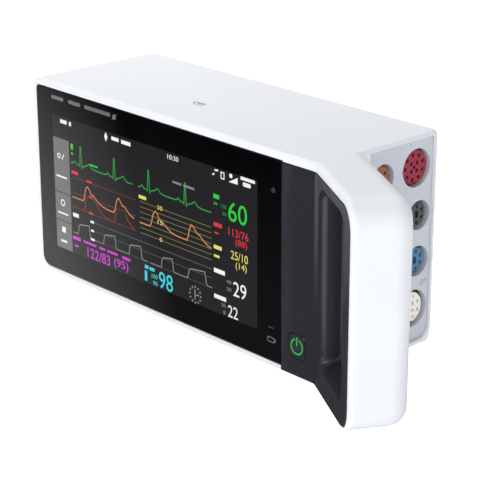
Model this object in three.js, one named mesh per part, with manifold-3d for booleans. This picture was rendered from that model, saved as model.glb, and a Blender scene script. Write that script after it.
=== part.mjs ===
// A compact bedside patient monitor with a forward-bent hand grip on its right end.
// Units are millimetres. X runs to the right along the screen, Y runs from the screen
// to the back and Z is up. The pieces are drawn from the lower left corner of the cover
// glass, and the whole monitor is then set down with its feet on Z = 0.
import * as THREE from "three";
import { mergeVertices } from "three/addons/utils/BufferGeometryUtils.js";
import Module from "manifold-3d";

const wasm = await Module();
wasm.setup();

// ---- Driving dimensions -------------------------------------------------------------

const GAP = 0.3; // clearance between neighbouring pieces
const ARC_STEPS = 3; // half the number of facets on a rounded corner

const GLASS = { width: 166.5, height: 89.7, thick: 1.8, topRadius: 1.8, bottomRadius: 5 };

const BODY = {
  left: -3.6,
  right: 188,
  bottom: -3,
  top: 93.3,
  depth: 74.3,
  wall: 2.4,
  frontEdge: 1.4,
  rearEdge: 6.3,
  rearTopEdge: 4.6,
  rearBottomEdge: 8.4,
  topLeftEdge: 6,
  bottomLeftEdge: 8,
  rightEdge: 2,
};

const GRIP = {
  bendX: 186, // the upright line about which the front turns forward
  angle: Math.PI / 6,
  length: 52.8,
  thick: 25.5,
  root: -20, // how far the grip runs back into the body
  outerRadius: 12.5,
  frontEdge: 2.4,
  rearEdge: 8,
  rimWidth: 3.4,
};

const TRIM = { thick: 2.2, top: 89.2, bottom: -1.9, cornerRadius: 9.5 };

// The thumb recess in the grip: u runs outwards along the grip, v goes into it.
const RECESS = {
  uIn: 5,
  uOut: 40,
  bottom: 6.5,
  top: 85.5,
  depth: 12,
  shell: 1.8,
  lean: { inner: 2.5, outer: 2, bottom: 13, top: 6 }, // how far each side leans in by the floor
};

const REAR = { seam: 71, coverWall: 2.6, spigot: 3 };

const PANEL = {
  face: 186.4,
  thick: 3,
  front: 29.8,
  rear: 69.3,
  bottom: -0.1,
  top: 91,
  topRearRadius: 1.5,
  bottomRearRadius: 6,
  cupDepth: 11,
  cupWall: 1.5,
  insertDrop: 2.6, // how far an insert's face lies below the panel
};

// The cups behind the panel reach back to this X, and the rear cover's room ends there.
const CUP_BACK = PANEL.face - PANEL.insertDrop - PANEL.cupDepth - PANEL.cupWall;

// Sockets on the panel: centre, bore of the well, insert, pin rings as [count, radius].
const SOCKETS = [
  {
    name: "pressure_socket",
    y: 59.4,
    z: 78.6,
    well: 17,
    insert: 14.6,
    pins: [[8, 5.2], [3, 2.2]],
    pinSize: 1.5,
    color: 0x8a3346,
  },
  {
    name: "temperature_socket",
    y: 38.9,
    z: 78,
    well: 13,
    insert: 10.6,
    pins: [[5, 3.3]],
    pinSize: 1.4,
    color: 0x96583a,
  },
  {
    name: "gas_socket",
    y: 61.9,
    z: 57.1,
    well: 13.3,
    insert: 10.4,
    pins: [[6, 3.3], [1, 0]],
    pinSize: 1.4,
    color: 0x75776f,
  },
  {
    name: "oxygen_socket",
    y: 61.6,
    z: 36.3,
    well: 13.8,
    insert: 11.4,
    pins: [[7, 3.7], [1, 0]],
    pinSize: 1.4,
    color: 0x3f7aa6,
  },
  {
    name: "ecg_socket",
    y: 59.9,
    z: 14.8,
    well: 17.2,
    insert: 14.2,
    pins: [[8, 5.1], [4, 2.3]],
    pinSize: 1.4,
    color: 0xd9d3c4,
  },
];

const BUTTON = { x: 176, z: 11.2, width: 9.8, height: 10.8, radius: 2.6, thick: 4.4, travel: 0.8 };

const LAMP = { bottom: 85.1, top: 86.9, depth: 0.5, spans: [[11.3, 20.6], [24.4, 33.4], [36.4, 55.4]] };

const BATTERY = { left: 14, right: 104, bottom: 22, top: 72, front: 44, rear: 66 };

// The battery tray is a box open to the back, behind a door that is hinged at its foot.
const TRAY = { left: 12, right: 106, bottom: 20, top: 74, front: 42, rear: 67, wall: 1.6 };

const DOOR = { left: 10, right: 108, bottom: 14.5, top: 77, thick: 2.4, radius: 3 };

const SILL = { front: 67.4, wall: 1.6, top: 19 };
const HINGE = { z: 18.6, y: 71.6, radius: 1.2, knuckle: 2.1, play: 0.1, ear: 4 };

// The mounting plate on the back, with its contact block below and its latch above.
const DOCK = {
  x: 146,
  z: 50,
  width: 60,
  height: 60,
  thick: 2,
  seatWall: 2,
  screwSpacing: 50,
  screwDrop: 24,
};

const LATCH = { width: 14, bottom: 11, top: 19, travel: 2.5 };

const FOOT = { radius: 5.5, drop: 0.7, thick: 1.5, x: [14, 170], y: [14, 61] };

const SCREW = { headRadius: 2.9, headHeight: 2, shankRadius: 1.4, shankLength: 12 };

const COLORS = {
  white: 0xf2f4f8,
  panel: 0xb9bfc9,
  dark: 0x3b3b41,
  black: 0x0d0e10,
  glass: 0x16171a,
  metal: 0xb8bcc2,
  board: 0x1e5a3a,
  rubber: 0x2a2b2d,
  green: 0x46b45a,
  grey: 0x8a8d92,
};

// ---- Shapes -------------------------------------------------------------------------

// A closed outline through the given corners, each [x, y, radius].
function outline(corners) {
  const shape = new THREE.Shape();
  const count = corners.length;
  corners.forEach(([x, y, radius = 0], i) => {
    const before = corners[(i + count - 1) % count];
    const after = corners[(i + 1) % count];
    const corner = new THREE.Vector2(x, y);
    const back = new THREE.Vector2(before[0] - x, before[1] - y).normalize();
    const ahead = new THREE.Vector2(after[0] - x, after[1] - y).normalize();
    const half = Math.acos(THREE.MathUtils.clamp(back.dot(ahead), -1, 1)) / 2;
    const start = corner.clone().addScaledVector(back, radius / Math.tan(half));
    if (i === 0) shape.moveTo(start.x, start.y);
    else shape.lineTo(start.x, start.y);
    if (radius === 0) return;
    const end = corner.clone().addScaledVector(ahead, radius / Math.tan(half));
    const middle = back.clone().add(ahead).normalize();
    const centre = corner.clone().addScaledVector(middle, radius / Math.sin(half));
    const from = Math.atan2(start.y - centre.y, start.x - centre.x);
    const to = Math.atan2(end.y - centre.y, end.x - centre.x);
    shape.absarc(centre.x, centre.y, radius, from, to, back.cross(ahead) > 0);
  });
  shape.closePath();
  return shape;
}

function rectangle(x0, y0, x1, y1, radius = 0) {
  return outline([[x0, y0, radius], [x1, y0, radius], [x1, y1, radius], [x0, y1, radius]]);
}

function extrude(shape, depth) {
  return new THREE.ExtrudeGeometry(shape, {
    depth,
    bevelEnabled: false,
    curveSegments: ARC_STEPS,
  });
}

// An outline drawn in X and Y, filled from z0 to z1.
function alongZ(shape, z0, z1) {
  return extrude(shape, z1 - z0).translate(0, 0, z0);
}

// An outline drawn in X and Z, filled from y0 to y1.
function alongY(shape, y0, y1) {
  return extrude(shape, y1 - y0).rotateX(Math.PI / 2).translate(0, y1, 0);
}

// An outline drawn in Y and Z, filled from x0 to x1.
function alongX(shape, x0, x1) {
  const turn = new THREE.Matrix4().set(0, 0, 1, x0, 1, 0, 0, 0, 0, 1, 0, 0, 0, 0, 0, 1);
  return extrude(shape, x1 - x0).applyMatrix4(turn);
}

function block(x0, y0, z0, x1, y1, z1) {
  const box = new THREE.BoxGeometry(x1 - x0, y1 - y0, z1 - z0);
  return box.translate((x0 + x1) / 2, (y0 + y1) / 2, (z0 + z1) / 2);
}

// A round rod whose axis is "x", "y" or "z", from `from` to `to` along it.
function rod(axis, a, b, radius, from, to, sides = 16) {
  const round = new THREE.CylinderGeometry(radius, radius, to - from, sides);
  const middle = (from + to) / 2;
  if (axis === "x") return round.rotateZ(Math.PI / 2).translate(middle, a, b);
  if (axis === "y") return round.translate(a, middle, b);
  return round.rotateX(Math.PI / 2).translate(a, b, middle);
}

// Moves a geometry drawn in the grip's own u, v, z to its place on the monitor.
function onGrip(geometry) {
  return geometry.rotateZ(-GRIP.angle).translate(GRIP.bendX, 0, 0);
}

// ---- Joining and cutting ------------------------------------------------------------

function solid(geometry) {
  const flat = geometry.index ? geometry.toNonIndexed() : geometry;
  const bare = new THREE.BufferGeometry().setAttribute("position", flat.getAttribute("position"));
  const merged = mergeVertices(bare, 1e-4);
  const mesh = new wasm.Mesh({
    numProp: 3,
    vertProperties: merged.attributes.position.array,
    triVerts: new Uint32Array(merged.index.array),
  });
  return new wasm.Manifold(mesh);
}

const join = (...geometries) => geometries.map(asSolid).reduce((a, b) => a.add(b));
const cut = (from, ...tools) => tools.map(asSolid).reduce((a, b) => a.subtract(b), asSolid(from));
const common = (...geometries) => geometries.map(asSolid).reduce((a, b) => a.intersect(b));

function asSolid(thing) {
  return thing instanceof THREE.BufferGeometry ? solid(thing) : thing;
}

function geometryOf(shape) {
  const { vertProperties, triVerts } = asSolid(shape).getMesh();
  const geometry = new THREE.BufferGeometry();
  geometry.setAttribute("position", new THREE.BufferAttribute(vertProperties, 3));
  geometry.setIndex(new THREE.BufferAttribute(triVerts, 1));
  geometry.computeVertexNormals();
  return geometry;
}

const monitor = new THREE.Group();

function piece(name, shape, color, roughness = 0.5, metalness = 0) {
  const material = new THREE.MeshStandardMaterial({ color, roughness, metalness });
  const mesh = new THREE.Mesh(geometryOf(shape), material);
  mesh.name = name;
  monitor.add(mesh);
  return mesh;
}

// ---- White housing ------------------------------------------------------------------

function bodyBlock() {
  const { left, right, bottom, top, depth } = BODY;
  const ends = outline([
    [left, bottom, BODY.bottomLeftEdge],
    [right, bottom, BODY.rightEdge],
    [right, top, BODY.rightEdge],
    [left, top, BODY.topLeftEdge],
  ]);
  const plan = outline([
    [left, 0, BODY.frontEdge],
    [right, 0],
    [right, depth, BODY.rearEdge],
    [left, depth, BODY.rearEdge],
  ]);
  const side = outline([
    [0, bottom, BODY.frontEdge],
    [depth, bottom, BODY.rearBottomEdge],
    [depth, top, BODY.rearTopEdge],
    [0, top, BODY.frontEdge],
  ]);
  return common(alongY(ends, 0, depth), alongZ(plan, bottom, top), alongX(side, left, right));
}

function gripBlock() {
  const { root, length, thick } = GRIP;
  const { bottom, top } = BODY;
  const face = outline([
    [root, bottom],
    [length, bottom, GRIP.outerRadius],
    [length, top, GRIP.outerRadius],
    [root, top],
  ]);
  const plan = outline([
    [root, 0],
    [length, 0, GRIP.frontEdge],
    [length, thick, GRIP.rearEdge],
    [root, thick],
  ]);
  const side = outline([
    [0, bottom, GRIP.frontEdge],
    [thick, bottom, GRIP.rearEdge],
    [thick, top, GRIP.rearEdge],
    [0, top, GRIP.frontEdge],
  ]);
  const shape = [alongY(face, 0, thick), alongZ(plan, bottom, top), alongX(side, root, length)];
  return common(...shape.map(onGrip));
}

const hull = join(bodyBlock(), gripBlock());

function glassOutline(grow) {
  const { width, height, topRadius, bottomRadius } = GLASS;
  return outline([
    [-grow, -grow, bottomRadius + grow],
    [width + grow, -grow],
    [width + grow, height + grow],
    [-grow, height + grow, topRadius + grow],
  ]);
}

// A point of the plan at u along the grip and v into it.
function gripPoint(u, v) {
  const { bendX, angle } = GRIP;
  const [cos, sin] = [Math.cos(angle), Math.sin(angle)];
  return [bendX + u * cos + v * sin, v * cos - u * sin];
}

// The bent front trim as a plate: a strip beside the glass, then the face of the grip.
function trimPlate(grow, v0, v1) {
  const start = GLASS.width + GAP - grow;
  const end = GRIP.length - GRIP.rimWidth - GAP + grow;
  const bend = Math.tan(GRIP.angle / 2);
  const plan = outline([
    [start, v0],
    [GRIP.bendX + bend * v0, v0],
    gripPoint(end, v0),
    gripPoint(end, v1),
    [GRIP.bendX + bend * v1, v1],
    [start, v1],
  ]);
  const low = TRIM.bottom - grow;
  const high = TRIM.top + grow;
  const radius = TRIM.cornerRadius + grow;
  const reach = 60; // past both ends of the strip
  const face = outline([
    [-reach, low - 1],
    [end - radius - 1, low - 1],
    [end - radius - 1, low],
    [end, low, radius],
    [end, high, radius],
    [end - radius - 1, high],
    [end - radius - 1, high + 1],
    [-reach, high + 1],
  ]);
  return common(alongZ(plan, low, high), onGrip(alongY(face, -reach, reach)));
}

function housingInside() {
  const { left, right, bottom, top, wall } = BODY;
  const ledge = GLASS.thick + 3;
  const room = rectangle(left + wall, bottom + wall, right - wall, top - wall, 4);
  const gripRoom = rectangle(-15, bottom + wall, GRIP.length - wall, top - wall, 10);
  return join(
    alongY(room, ledge, REAR.seam + 10),
    onGrip(alongY(gripRoom, TRIM.thick, GRIP.thick - wall)),
  );
}

function panelOutline(grow) {
  const { front, rear, bottom, top, topRearRadius, bottomRearRadius } = PANEL;
  return outline([
    [front - grow, bottom - grow],
    [rear + grow, bottom - grow, bottomRearRadius + grow],
    [rear + grow, top + grow, topRearRadius + grow],
    [front - grow, top + grow],
  ]);
}

// Posts that take the four screws of the rear cover, one in each corner of the room.
const POST = { radius: 3.8, from: 54, x: [6.2, 164], z: [6, 84.6] };

// A post and the rib that ties it to the nearer of the floor and the roof.
function coverPost(x, z) {
  const end = REAR.seam - REAR.spigot - GAP;
  const middle = (BODY.top + BODY.bottom) / 2;
  const [low, high] = z < middle ? [BODY.bottom + 1, z] : [z, BODY.top - 1];
  const rib = block(x - 1, POST.from, low, x + 1, end - 2, high);
  return join(rod("y", x, z, POST.radius, POST.from, end), rib);
}

function eachPost(make) {
  return POST.x.flatMap((x) => POST.z.map((z) => make(x, z)));
}

function footSpots() {
  return FOOT.x.flatMap((x) => FOOT.y.map((y) => [x, y]));
}

function mainHousing() {
  const seamCut = block(-20, REAR.seam, -20, 260, 100, 120);
  const windowCut = block(3, 0, 3, GRIP.bendX - 2, GLASS.thick + 5, GLASS.height - 3.2);
  let shell = cut(
    hull,
    seamCut,
    housingInside(),
    alongY(glassOutline(GAP), -1, GLASS.thick + 1),
    trimPlate(GAP, -3, TRIM.thick + GAP),
    windowCut,
    alongX(panelOutline(GAP), BODY.right - 6, BODY.right + 3),
  );
  const posts = eachPost(coverPost);
  const bores = eachPost((x, z) => rod("y", x, z, SCREW.shankRadius + 0.2, POST.from + 2, 90, 12));
  const pockets = footSpots().map(([x, y]) =>
    rod("z", x, y, FOOT.radius + GAP, BODY.bottom - 1, BODY.bottom + FOOT.thick - FOOT.drop + GAP, 20),
  );
  shell = join(shell, ...posts);
  return cut(shell, ...bores, ...pockets);
}

const housing = mainHousing();
piece("main_housing", housing, COLORS.white, 0.38);

// ---- Screen -------------------------------------------------------------------------

function coverGlass() {
  const lamps = LAMP.spans.map(([x0, x1]) =>
    block(x0 - 0.1, -1, LAMP.bottom - 0.1, x1 + 0.1, LAMP.depth + 0.1, LAMP.top + 0.1),
  );
  const sensor = rod("y", 161.4, 76.1, 1.4, -1, GLASS.thick + 1, 16);
  return cut(alongY(glassOutline(0), 0, GLASS.thick), ...lamps, sensor);
}

piece("cover_glass", coverGlass(), COLORS.glass, 0.06);

["left", "middle", "right"].forEach((side, i) => {
  const [x0, x1] = LAMP.spans[i];
  const lens = rectangle(x0, LAMP.bottom, x1, LAMP.top, 0.6);
  piece("alarm_lamp_" + side, alongY(lens, 0, LAMP.depth), COLORS.grey, 0.3);
});

piece("light_sensor", rod("y", 161.4, 76.1, 1.15, 0.1, GLASS.thick, 16), COLORS.rubber, 0.3);

const SCREEN = { left: 6, right: 158, bottom: 6.5, top: 83.5 };

piece(
  "glass_gasket",
  cut(
    alongY(glassOutline(-0.3), GLASS.thick + 0.1, GLASS.thick + 0.8),
    alongY(rectangle(4.6, 4.6, 163.6, 85.4, 1.5), GLASS.thick - 1, GLASS.thick + 3),
  ),
  COLORS.rubber,
  0.9,
);
piece(
  "lcd_panel",
  block(SCREEN.left, GLASS.thick + 0.1, SCREEN.bottom, SCREEN.right, 3.8, SCREEN.top),
  COLORS.black,
  0.2,
);
piece(
  "backlight_unit",
  join(
    block(SCREEN.left, 4.1, SCREEN.bottom, SCREEN.right, 8.6, SCREEN.top),
    block(120, 8, 30, 150, 9.6, 44),
  ),
  COLORS.metal,
  0.4,
  0.8,
);

// ---- Grip trim and power button -----------------------------------------------------

// The recess as a solid from v = mouth down to its floor, with all four sides leaning in.
function recessBlock(grow, mouth) {
  const { uIn, uOut, bottom, top, depth, lean } = RECESS;
  const floor = depth + grow;
  const at = mouth / floor;
  const inner = uIn - grow;
  const outer = uOut + grow;
  const low = bottom - grow;
  const high = top + grow;
  const plan = outline([
    [inner + lean.inner * at, mouth],
    [outer - lean.outer * at, mouth],
    [outer - lean.outer, floor, 3],
    [inner + lean.inner, floor, 4],
  ]);
  const side = outline([
    [mouth, low + lean.bottom * at],
    [floor, low + lean.bottom, 5],
    [floor, high - lean.top, 5],
    [mouth, high - lean.top * at],
  ]);
  const shape = [
    alongZ(plan, low, high),
    alongX(side, inner, outer),
    alongY(rectangle(inner, low, outer, high, 5), mouth, floor),
  ];
  return common(...shape.map(onGrip));
}

function gripTrim() {
  const hole = rectangle(
    BUTTON.x - BUTTON.width / 2 - GAP,
    BUTTON.z - BUTTON.height / 2 - GAP,
    BUTTON.x + BUTTON.width / 2 + GAP,
    BUTTON.z + BUTTON.height / 2 + GAP,
    BUTTON.radius + GAP,
  );
  const plate = join(trimPlate(0, 0, TRIM.thick), recessBlock(RECESS.shell, TRIM.thick / 2));
  return cut(plate, recessBlock(0, -3), alongY(hole, -1, TRIM.thick + 1));
}

piece("grip_trim", gripTrim(), COLORS.dark, 0.55);

const RING = { outer: 3.7, inner: 2.9, depth: 0.4 };

function buttonKey() {
  const { x, z, width, height, radius, thick } = BUTTON;
  const face = rectangle(x - width / 2, z - height / 2, x + width / 2, z + height / 2, radius);
  const flange = rectangle(x - width / 2 - 1.6, z - height / 2 - 1.6, x + width / 2 + 1.6,
    z + height / 2 + 1.6, radius);
  const groove = cut(
    rod("y", x, z, RING.outer + 0.1, -1, RING.depth + 0.1, 32),
    rod("y", x, z, RING.inner - 0.1, -2, RING.depth + 1, 32),
  );
  const slot = block(x - 0.5, -1, z + 0.2, x + 0.5, RING.depth + 0.1, z + RING.outer + 0.8);
  const key = join(alongY(face, 0, thick), alongY(flange, TRIM.thick + GAP, thick));
  return cut(key, groove, slot);
}

piece("power_button", buttonKey(), COLORS.dark, 0.5);

function powerSymbol() {
  const { x, z } = BUTTON;
  const ring = cut(
    rod("y", x, z, RING.outer, 0.05, RING.depth, 32),
    rod("y", x, z, RING.inner, -1, RING.depth + 1, 32),
    block(x - 1.2, -1, z, x + 1.2, 1, z + RING.outer + 1),
  );
  return ring;
}

piece("power_symbol_ring", powerSymbol(), COLORS.green, 0.4);
piece(
  "power_symbol_bar",
  block(BUTTON.x - 0.4, 0.05, BUTTON.z + 0.4, BUTTON.x + 0.4, RING.depth, BUTTON.z + RING.outer + 0.5),
  COLORS.green,
  0.4,
);
piece(
  "button_switch",
  join(
    block(BUTTON.x - 3, 7.4, BUTTON.z - 3, BUTTON.x + 3, 10, BUTTON.z + 3),
    rod("y", BUTTON.x, BUTTON.z, 1.6, BUTTON.thick + BUTTON.travel + 0.1, 8, 12),
  ),
  COLORS.black,
  0.6,
);

// ---- Connector side -----------------------------------------------------------------

function connectorPanel() {
  const { face, thick, cupWall } = PANEL;
  const cups = SOCKETS.map((s) => rod("x", s.y, s.z, s.well / 2 + cupWall, CUP_BACK, face - 1, 28));
  const wells = SOCKETS.map((s) => rod("x", s.y, s.z, s.well / 2, CUP_BACK + cupWall, face + 1, 28));
  return cut(join(alongX(panelOutline(0), face - thick, face), ...cups), ...wells);
}

piece("connector_panel", connectorPanel(), COLORS.panel, 0.5);

// An insert stands on the floor of its well and holds its pin sockets in rings.
function socketInsert(s) {
  const front = PANEL.face - PANEL.insertDrop;
  const back = front - PANEL.cupDepth + GAP;
  const holes = s.pins.flatMap(([count, radius]) =>
    Array.from({ length: count }, (_, i) => {
      const angle = (2 * Math.PI * (i + 0.5)) / count;
      const y = s.y + radius * Math.cos(angle);
      const z = s.z + radius * Math.sin(angle);
      return rod("x", y, z, s.pinSize / 2, front - 5, front + 1, 8);
    }),
  );
  const key = block(front - 6, s.y - 0.9, s.z - s.insert / 2 - 1, front + 1, s.y + 0.9,
    s.z - s.insert / 2 + 0.9);
  return cut(rod("x", s.y, s.z, s.insert / 2, back, front, 28), ...holes, key);
}

SOCKETS.forEach((s) => piece(s.name, socketInsert(s), s.color, 0.45));

// A dark contact ring lies round the foot of each of the two large inserts.
SOCKETS.filter((s) => s.well > 16).forEach((s) => {
  const front = PANEL.face - PANEL.insertDrop;
  const ring = cut(
    rod("x", s.y, s.z, s.well / 2 - 0.15, front - 3, front - 0.8, 28),
    rod("x", s.y, s.z, s.insert / 2 + 0.15, front - 4, front, 28),
  );
  piece(s.name + "_ring", ring, COLORS.black, 0.5);
});

// ---- Rear cover ---------------------------------------------------------------------

const VENTS = { x: 126, count: 7, step: 4.4, width: 1.8, bottom: 5.5, top: 14.5 };

function dockScrews(make) {
  return [-1, 1].map((side) => make(DOCK.x + (side * DOCK.screwSpacing) / 2, DOCK.z - DOCK.screwDrop));
}

function dockBlock(grow, y0, y1) {
  const { x, z, width, height } = DOCK;
  return alongY(
    rectangle(x - width / 2 - grow, z - height / 2 - grow, x + width / 2 + grow, z + height / 2 + grow, 2),
    y0,
    y1,
  );
}

function latchBlock(grow, y0, y1, drop = 0) {
  const { x, z } = DOCK;
  return block(x - LATCH.width / 2 - grow, y0, z + LATCH.bottom - grow - drop, x + LATCH.width / 2 + grow,
    y1, z + LATCH.top + grow);
}

function contactBlock(grow, y0, y1) {
  return block(DOCK.x - 12 - grow, y0, DOCK.z - 14 - grow, DOCK.x + 12 + grow, y1, DOCK.z - 3 + grow);
}

function rearCover() {
  const { seam, coverWall, spigot } = REAR;
  const { left, right, bottom, top, wall, depth } = BODY;
  const roomRight = CUP_BACK - GAP;
  const slice = common(hull, block(-20, seam + GAP, -20, right + 1, 100, 120));
  const lipOutline = rectangle(left + wall + GAP, bottom + wall + GAP, roomRight, top - wall - GAP, 4);
  const roomOutline = rectangle(left + wall + 2, bottom + wall + 2, roomRight - 1.7, top - wall - 2, 3);
  const room = alongY(roomOutline, seam - spigot - 1, depth - coverWall);
  const pads = eachPost((x, z) => rod("y", x, z, POST.radius, seam - spigot, depth - 1));
  const ears = [DOOR.left - HINGE.ear - GAP, DOOR.right + GAP].map((x) =>
    block(x, 68.6, HINGE.z - 3, x + HINGE.ear, depth - 1, HINGE.z + 3),
  );
  const dockWall = dockBlock(2, depth - DOCK.thick - DOCK.seatWall, depth - 1);
  const shell = join(cut(join(slice, alongY(lipOutline, seam - spigot, seam + 1)), room), ...pads,
    ...ears, dockWall);
  const headSeat = depth - SCREW.headHeight - GAP;
  const heads = eachPost((x, z) => rod("y", x, z, SCREW.headRadius + GAP, headSeat, 90));
  const bores = eachPost((x, z) => rod("y", x, z, SCREW.shankRadius + 0.2, 50, 90, 12));
  const plateBores = dockScrews((x, z) => rod("y", x, z, SCREW.shankRadius + 0.2, 50, 90, 12));
  const doorHole = outline([
    [DOOR.left - GAP, DOOR.bottom - GAP],
    [DOOR.right + GAP, DOOR.bottom - GAP],
    [DOOR.right + GAP, DOOR.top + GAP, DOOR.radius],
    [DOOR.left - GAP, DOOR.top + GAP, DOOR.radius],
  ]);
  const sillSpan = [DOOR.left - GAP - SILL.wall, DOOR.right + GAP + SILL.wall];
  const sillTop = DOOR.bottom - GAP;
  const sill = join(
    block(sillSpan[0], SILL.front, sillTop - SILL.wall, sillSpan[1], depth - 1, sillTop),
    block(sillSpan[0], SILL.front, sillTop - SILL.wall, sillSpan[1], SILL.front + SILL.wall,
      SILL.top),
  );
  const vents = Array.from({ length: VENTS.count }, (_, i) => {
    const x = VENTS.x + i * VENTS.step;
    return block(x, 60, VENTS.bottom, x + VENTS.width, 90, VENTS.top);
  });
  const opened = cut(
    shell,
    ...heads,
    ...bores,
    ...plateBores,
    ...vents,
    alongY(doorHole, 72.2 - DOOR.thick - 4, 90),
    dockBlock(GAP, depth - DOCK.thick, 90),
    contactBlock(GAP, 60, 90),
    latchBlock(GAP, 60, 90, LATCH.travel),
    rod("x", HINGE.y, HINGE.z, HINGE.radius + HINGE.play, DOOR.left - 2.6, DOOR.right + 2.6),
  );
  return join(opened, sill);
}

piece("rear_cover", rearCover(), COLORS.white, 0.42);

const SEAL = { front: 66.1, rear: 67.5, width: 1.5 };

function rearSeal() {
  const ring = (inset) =>
    rectangle(
      BODY.left + BODY.wall + GAP + inset,
      BODY.bottom + BODY.wall + GAP + inset,
      CUP_BACK - GAP - inset,
      BODY.top - BODY.wall - GAP - inset,
      4,
    );
  return cut(alongY(ring(0), SEAL.front, SEAL.rear), alongY(ring(SEAL.width), 60, 80));
}

piece("rear_seal", rearSeal(), COLORS.rubber, 0.9);

// ---- Battery ------------------------------------------------------------------------

function batteryTray() {
  const { left, right, bottom, top, front, rear, wall } = TRAY;
  const inside = block(left + wall, front + wall, bottom + wall, right - wall, 90, top - wall);
  const cableSlot = block(left + 20, 30, bottom + 30, left + 34, 60, bottom + 38);
  return cut(block(left, front, bottom, right, rear, top), inside, cableSlot);
}

piece("battery_tray", batteryTray(), COLORS.black, 0.6);

function batteryPack() {
  const { left, right, bottom, top, front, rear } = BATTERY;
  const shape = alongY(rectangle(left, bottom, right, top, 3), front, rear);
  const pullGroove = block(50, rear - 3, bottom + 36, 68, rear + 1, bottom + 42);
  return cut(shape, pullGroove);
}

piece("battery_pack", batteryPack(), COLORS.grey, 0.5);

function batteryDoor() {
  const { left, right, top, thick, radius } = DOOR;
  const face = BODY.depth;
  const plate = outline([
    [left, HINGE.z],
    [right, HINGE.z],
    [right, top, radius],
    [left, top, radius],
  ]);
  const barrel = rod("x", HINGE.y, HINGE.z, HINGE.knuckle, left, right);
  const middle = (left + right) / 2;
  const hook = block(middle - 5, 68.4, top - 4, middle + 5, face - thick + 0.5, top - 2);
  const nail = block(middle - 12, face - 1.2, top - 8, middle + 12, face + 1, top + 1);
  const bore = rod("x", HINGE.y, HINGE.z, HINGE.radius + HINGE.play, left - 1, right + 1);
  return cut(join(alongY(plate, face - thick, face), barrel, hook), nail, bore);
}

piece("battery_door", batteryDoor(), COLORS.white, 0.42);
piece(
  "battery_door_pin",
  rod("x", HINGE.y, HINGE.z, HINGE.radius, DOOR.left - 2.4, DOOR.right + 2.4),
  COLORS.metal,
  0.3,
  1,
);

// ---- Mounting plate, contact block and latch ----------------------------------------

function dockPlate() {
  const { depth } = BODY;
  const heads = dockScrews((x, z) => rod("y", x, z, SCREW.headRadius + GAP, depth - 1.2, 90));
  const bores = dockScrews((x, z) => rod("y", x, z, SCREW.shankRadius + 0.2, 60, 90, 12));
  return cut(
    dockBlock(0, depth - DOCK.thick + 0.1, depth),
    contactBlock(GAP, 60, 90),
    latchBlock(GAP, 60, 90, LATCH.travel),
    ...heads,
    ...bores,
  );
}

piece("dock_plate", dockPlate(), COLORS.metal, 0.35, 0.9);

function dockConnector() {
  const contacts = Array.from({ length: 8 }, (_, i) => {
    const x = DOCK.x - 10.2 + i * 2.7;
    return block(x, BODY.depth - 2, DOCK.z - 12, x + 1.5, BODY.depth, DOCK.z - 5);
  });
  return cut(contactBlock(0, 66, BODY.depth - 0.9), ...contacts);
}

piece("dock_connector", dockConnector(), COLORS.black, 0.5);

function dockLatch() {
  const { x, z } = DOCK;
  const back = BODY.depth - DOCK.thick - DOCK.seatWall - GAP;
  const flange = block(x - LATCH.width / 2 - 3, back - 2, z + LATCH.bottom - 6, x + LATCH.width / 2 + 3,
    back, z + LATCH.top + 3);
  const ribs = [0, 1, 2].map((i) => {
    const low = z + LATCH.bottom + 1.4 + i * 2.2;
    return block(x - 5, BODY.depth - 0.8, low, x + 5, BODY.depth + 1, low + 1);
  });
  return cut(join(flange, latchBlock(0, back - 1, BODY.depth - 0.2)), ...ribs);
}

piece("dock_latch", dockLatch(), COLORS.dark, 0.5);

// ---- Inner works --------------------------------------------------------------------

const BOARD = { left: 6, right: 152, bottom: 6, top: 84, front: 18, thick: 1.6 };

function chassisFrame() {
  const windows = [
    block(14, 0, 14, 62, 30, 76),
    block(72, 0, 14, 112, 30, 76),
    block(120, 0, 14, 154, 30, 76),
  ];
  const plate = cut(block(1, 11, 2, 166, 12.4, 88.4), ...windows);
  const standoffs = [10, 148].flatMap((x) =>
    [10, 80].map((z) => rod("y", x, z, 2.4, 12, BOARD.front - 0.1, 12)),
  );
  return join(plate, ...standoffs);
}

piece("chassis_frame", chassisFrame(), COLORS.metal, 0.4, 0.9);

function mainBoard() {
  const { left, right, bottom, top, front, thick } = BOARD;
  const back = front + thick;
  const chips = [
    [24, 28, 20, 20, 2.4],
    [54, 52, 26, 18, 3.2],
    [92, 48, 14, 14, 1.8],
    [118, 54, 18, 20, 3.2],
    [128, 12, 14, 8, 5],
  ];
  const parts = chips.map(([x, z, width, height, rise]) =>
    block(x, back - 0.5, z, x + width, back + rise, z + height),
  );
  return join(block(left, front, bottom, right, back, top), ...parts);
}

piece("main_board", mainBoard(), COLORS.board, 0.5);

piece(
  "measurement_board",
  join(
    block(168.6, 14, 3, 170.2, 64, 88),
    block(166.2, 20, 20, 168.8, 44, 40),
    block(166.8, 22, 52, 168.8, 40, 66),
  ),
  COLORS.board,
  0.5,
);
piece(
  "power_module",
  join(block(66, 20, 10, 108, 36, 40), rod("y", 78, 25, 6, 34, 40, 14), rod("y", 96, 25, 6, 34, 40, 14)),
  COLORS.black,
  0.6,
);
piece(
  "speaker",
  join(rod("y", 143, 11, 9.6, 62, 67.6, 28), rod("y", 143, 11, 6.4, 55, 63, 20)),
  COLORS.black,
  0.7,
);

const PUMP = { y: 49, z: 66, radius: 11.4 };

piece(
  "pressure_pump",
  join(
    rod("x", PUMP.y, PUMP.z, PUMP.radius, 110, 140, 24),
    block(139, PUMP.y - 11, PUMP.z - 11, 156, PUMP.y + 11, PUMP.z + 11),
    rod("x", PUMP.y, PUMP.z - 4, 2, 155, 159.6, 12),
  ),
  COLORS.metal,
  0.4,
  0.7,
);

const VALVE = { y: 47, z: 38 };

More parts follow.
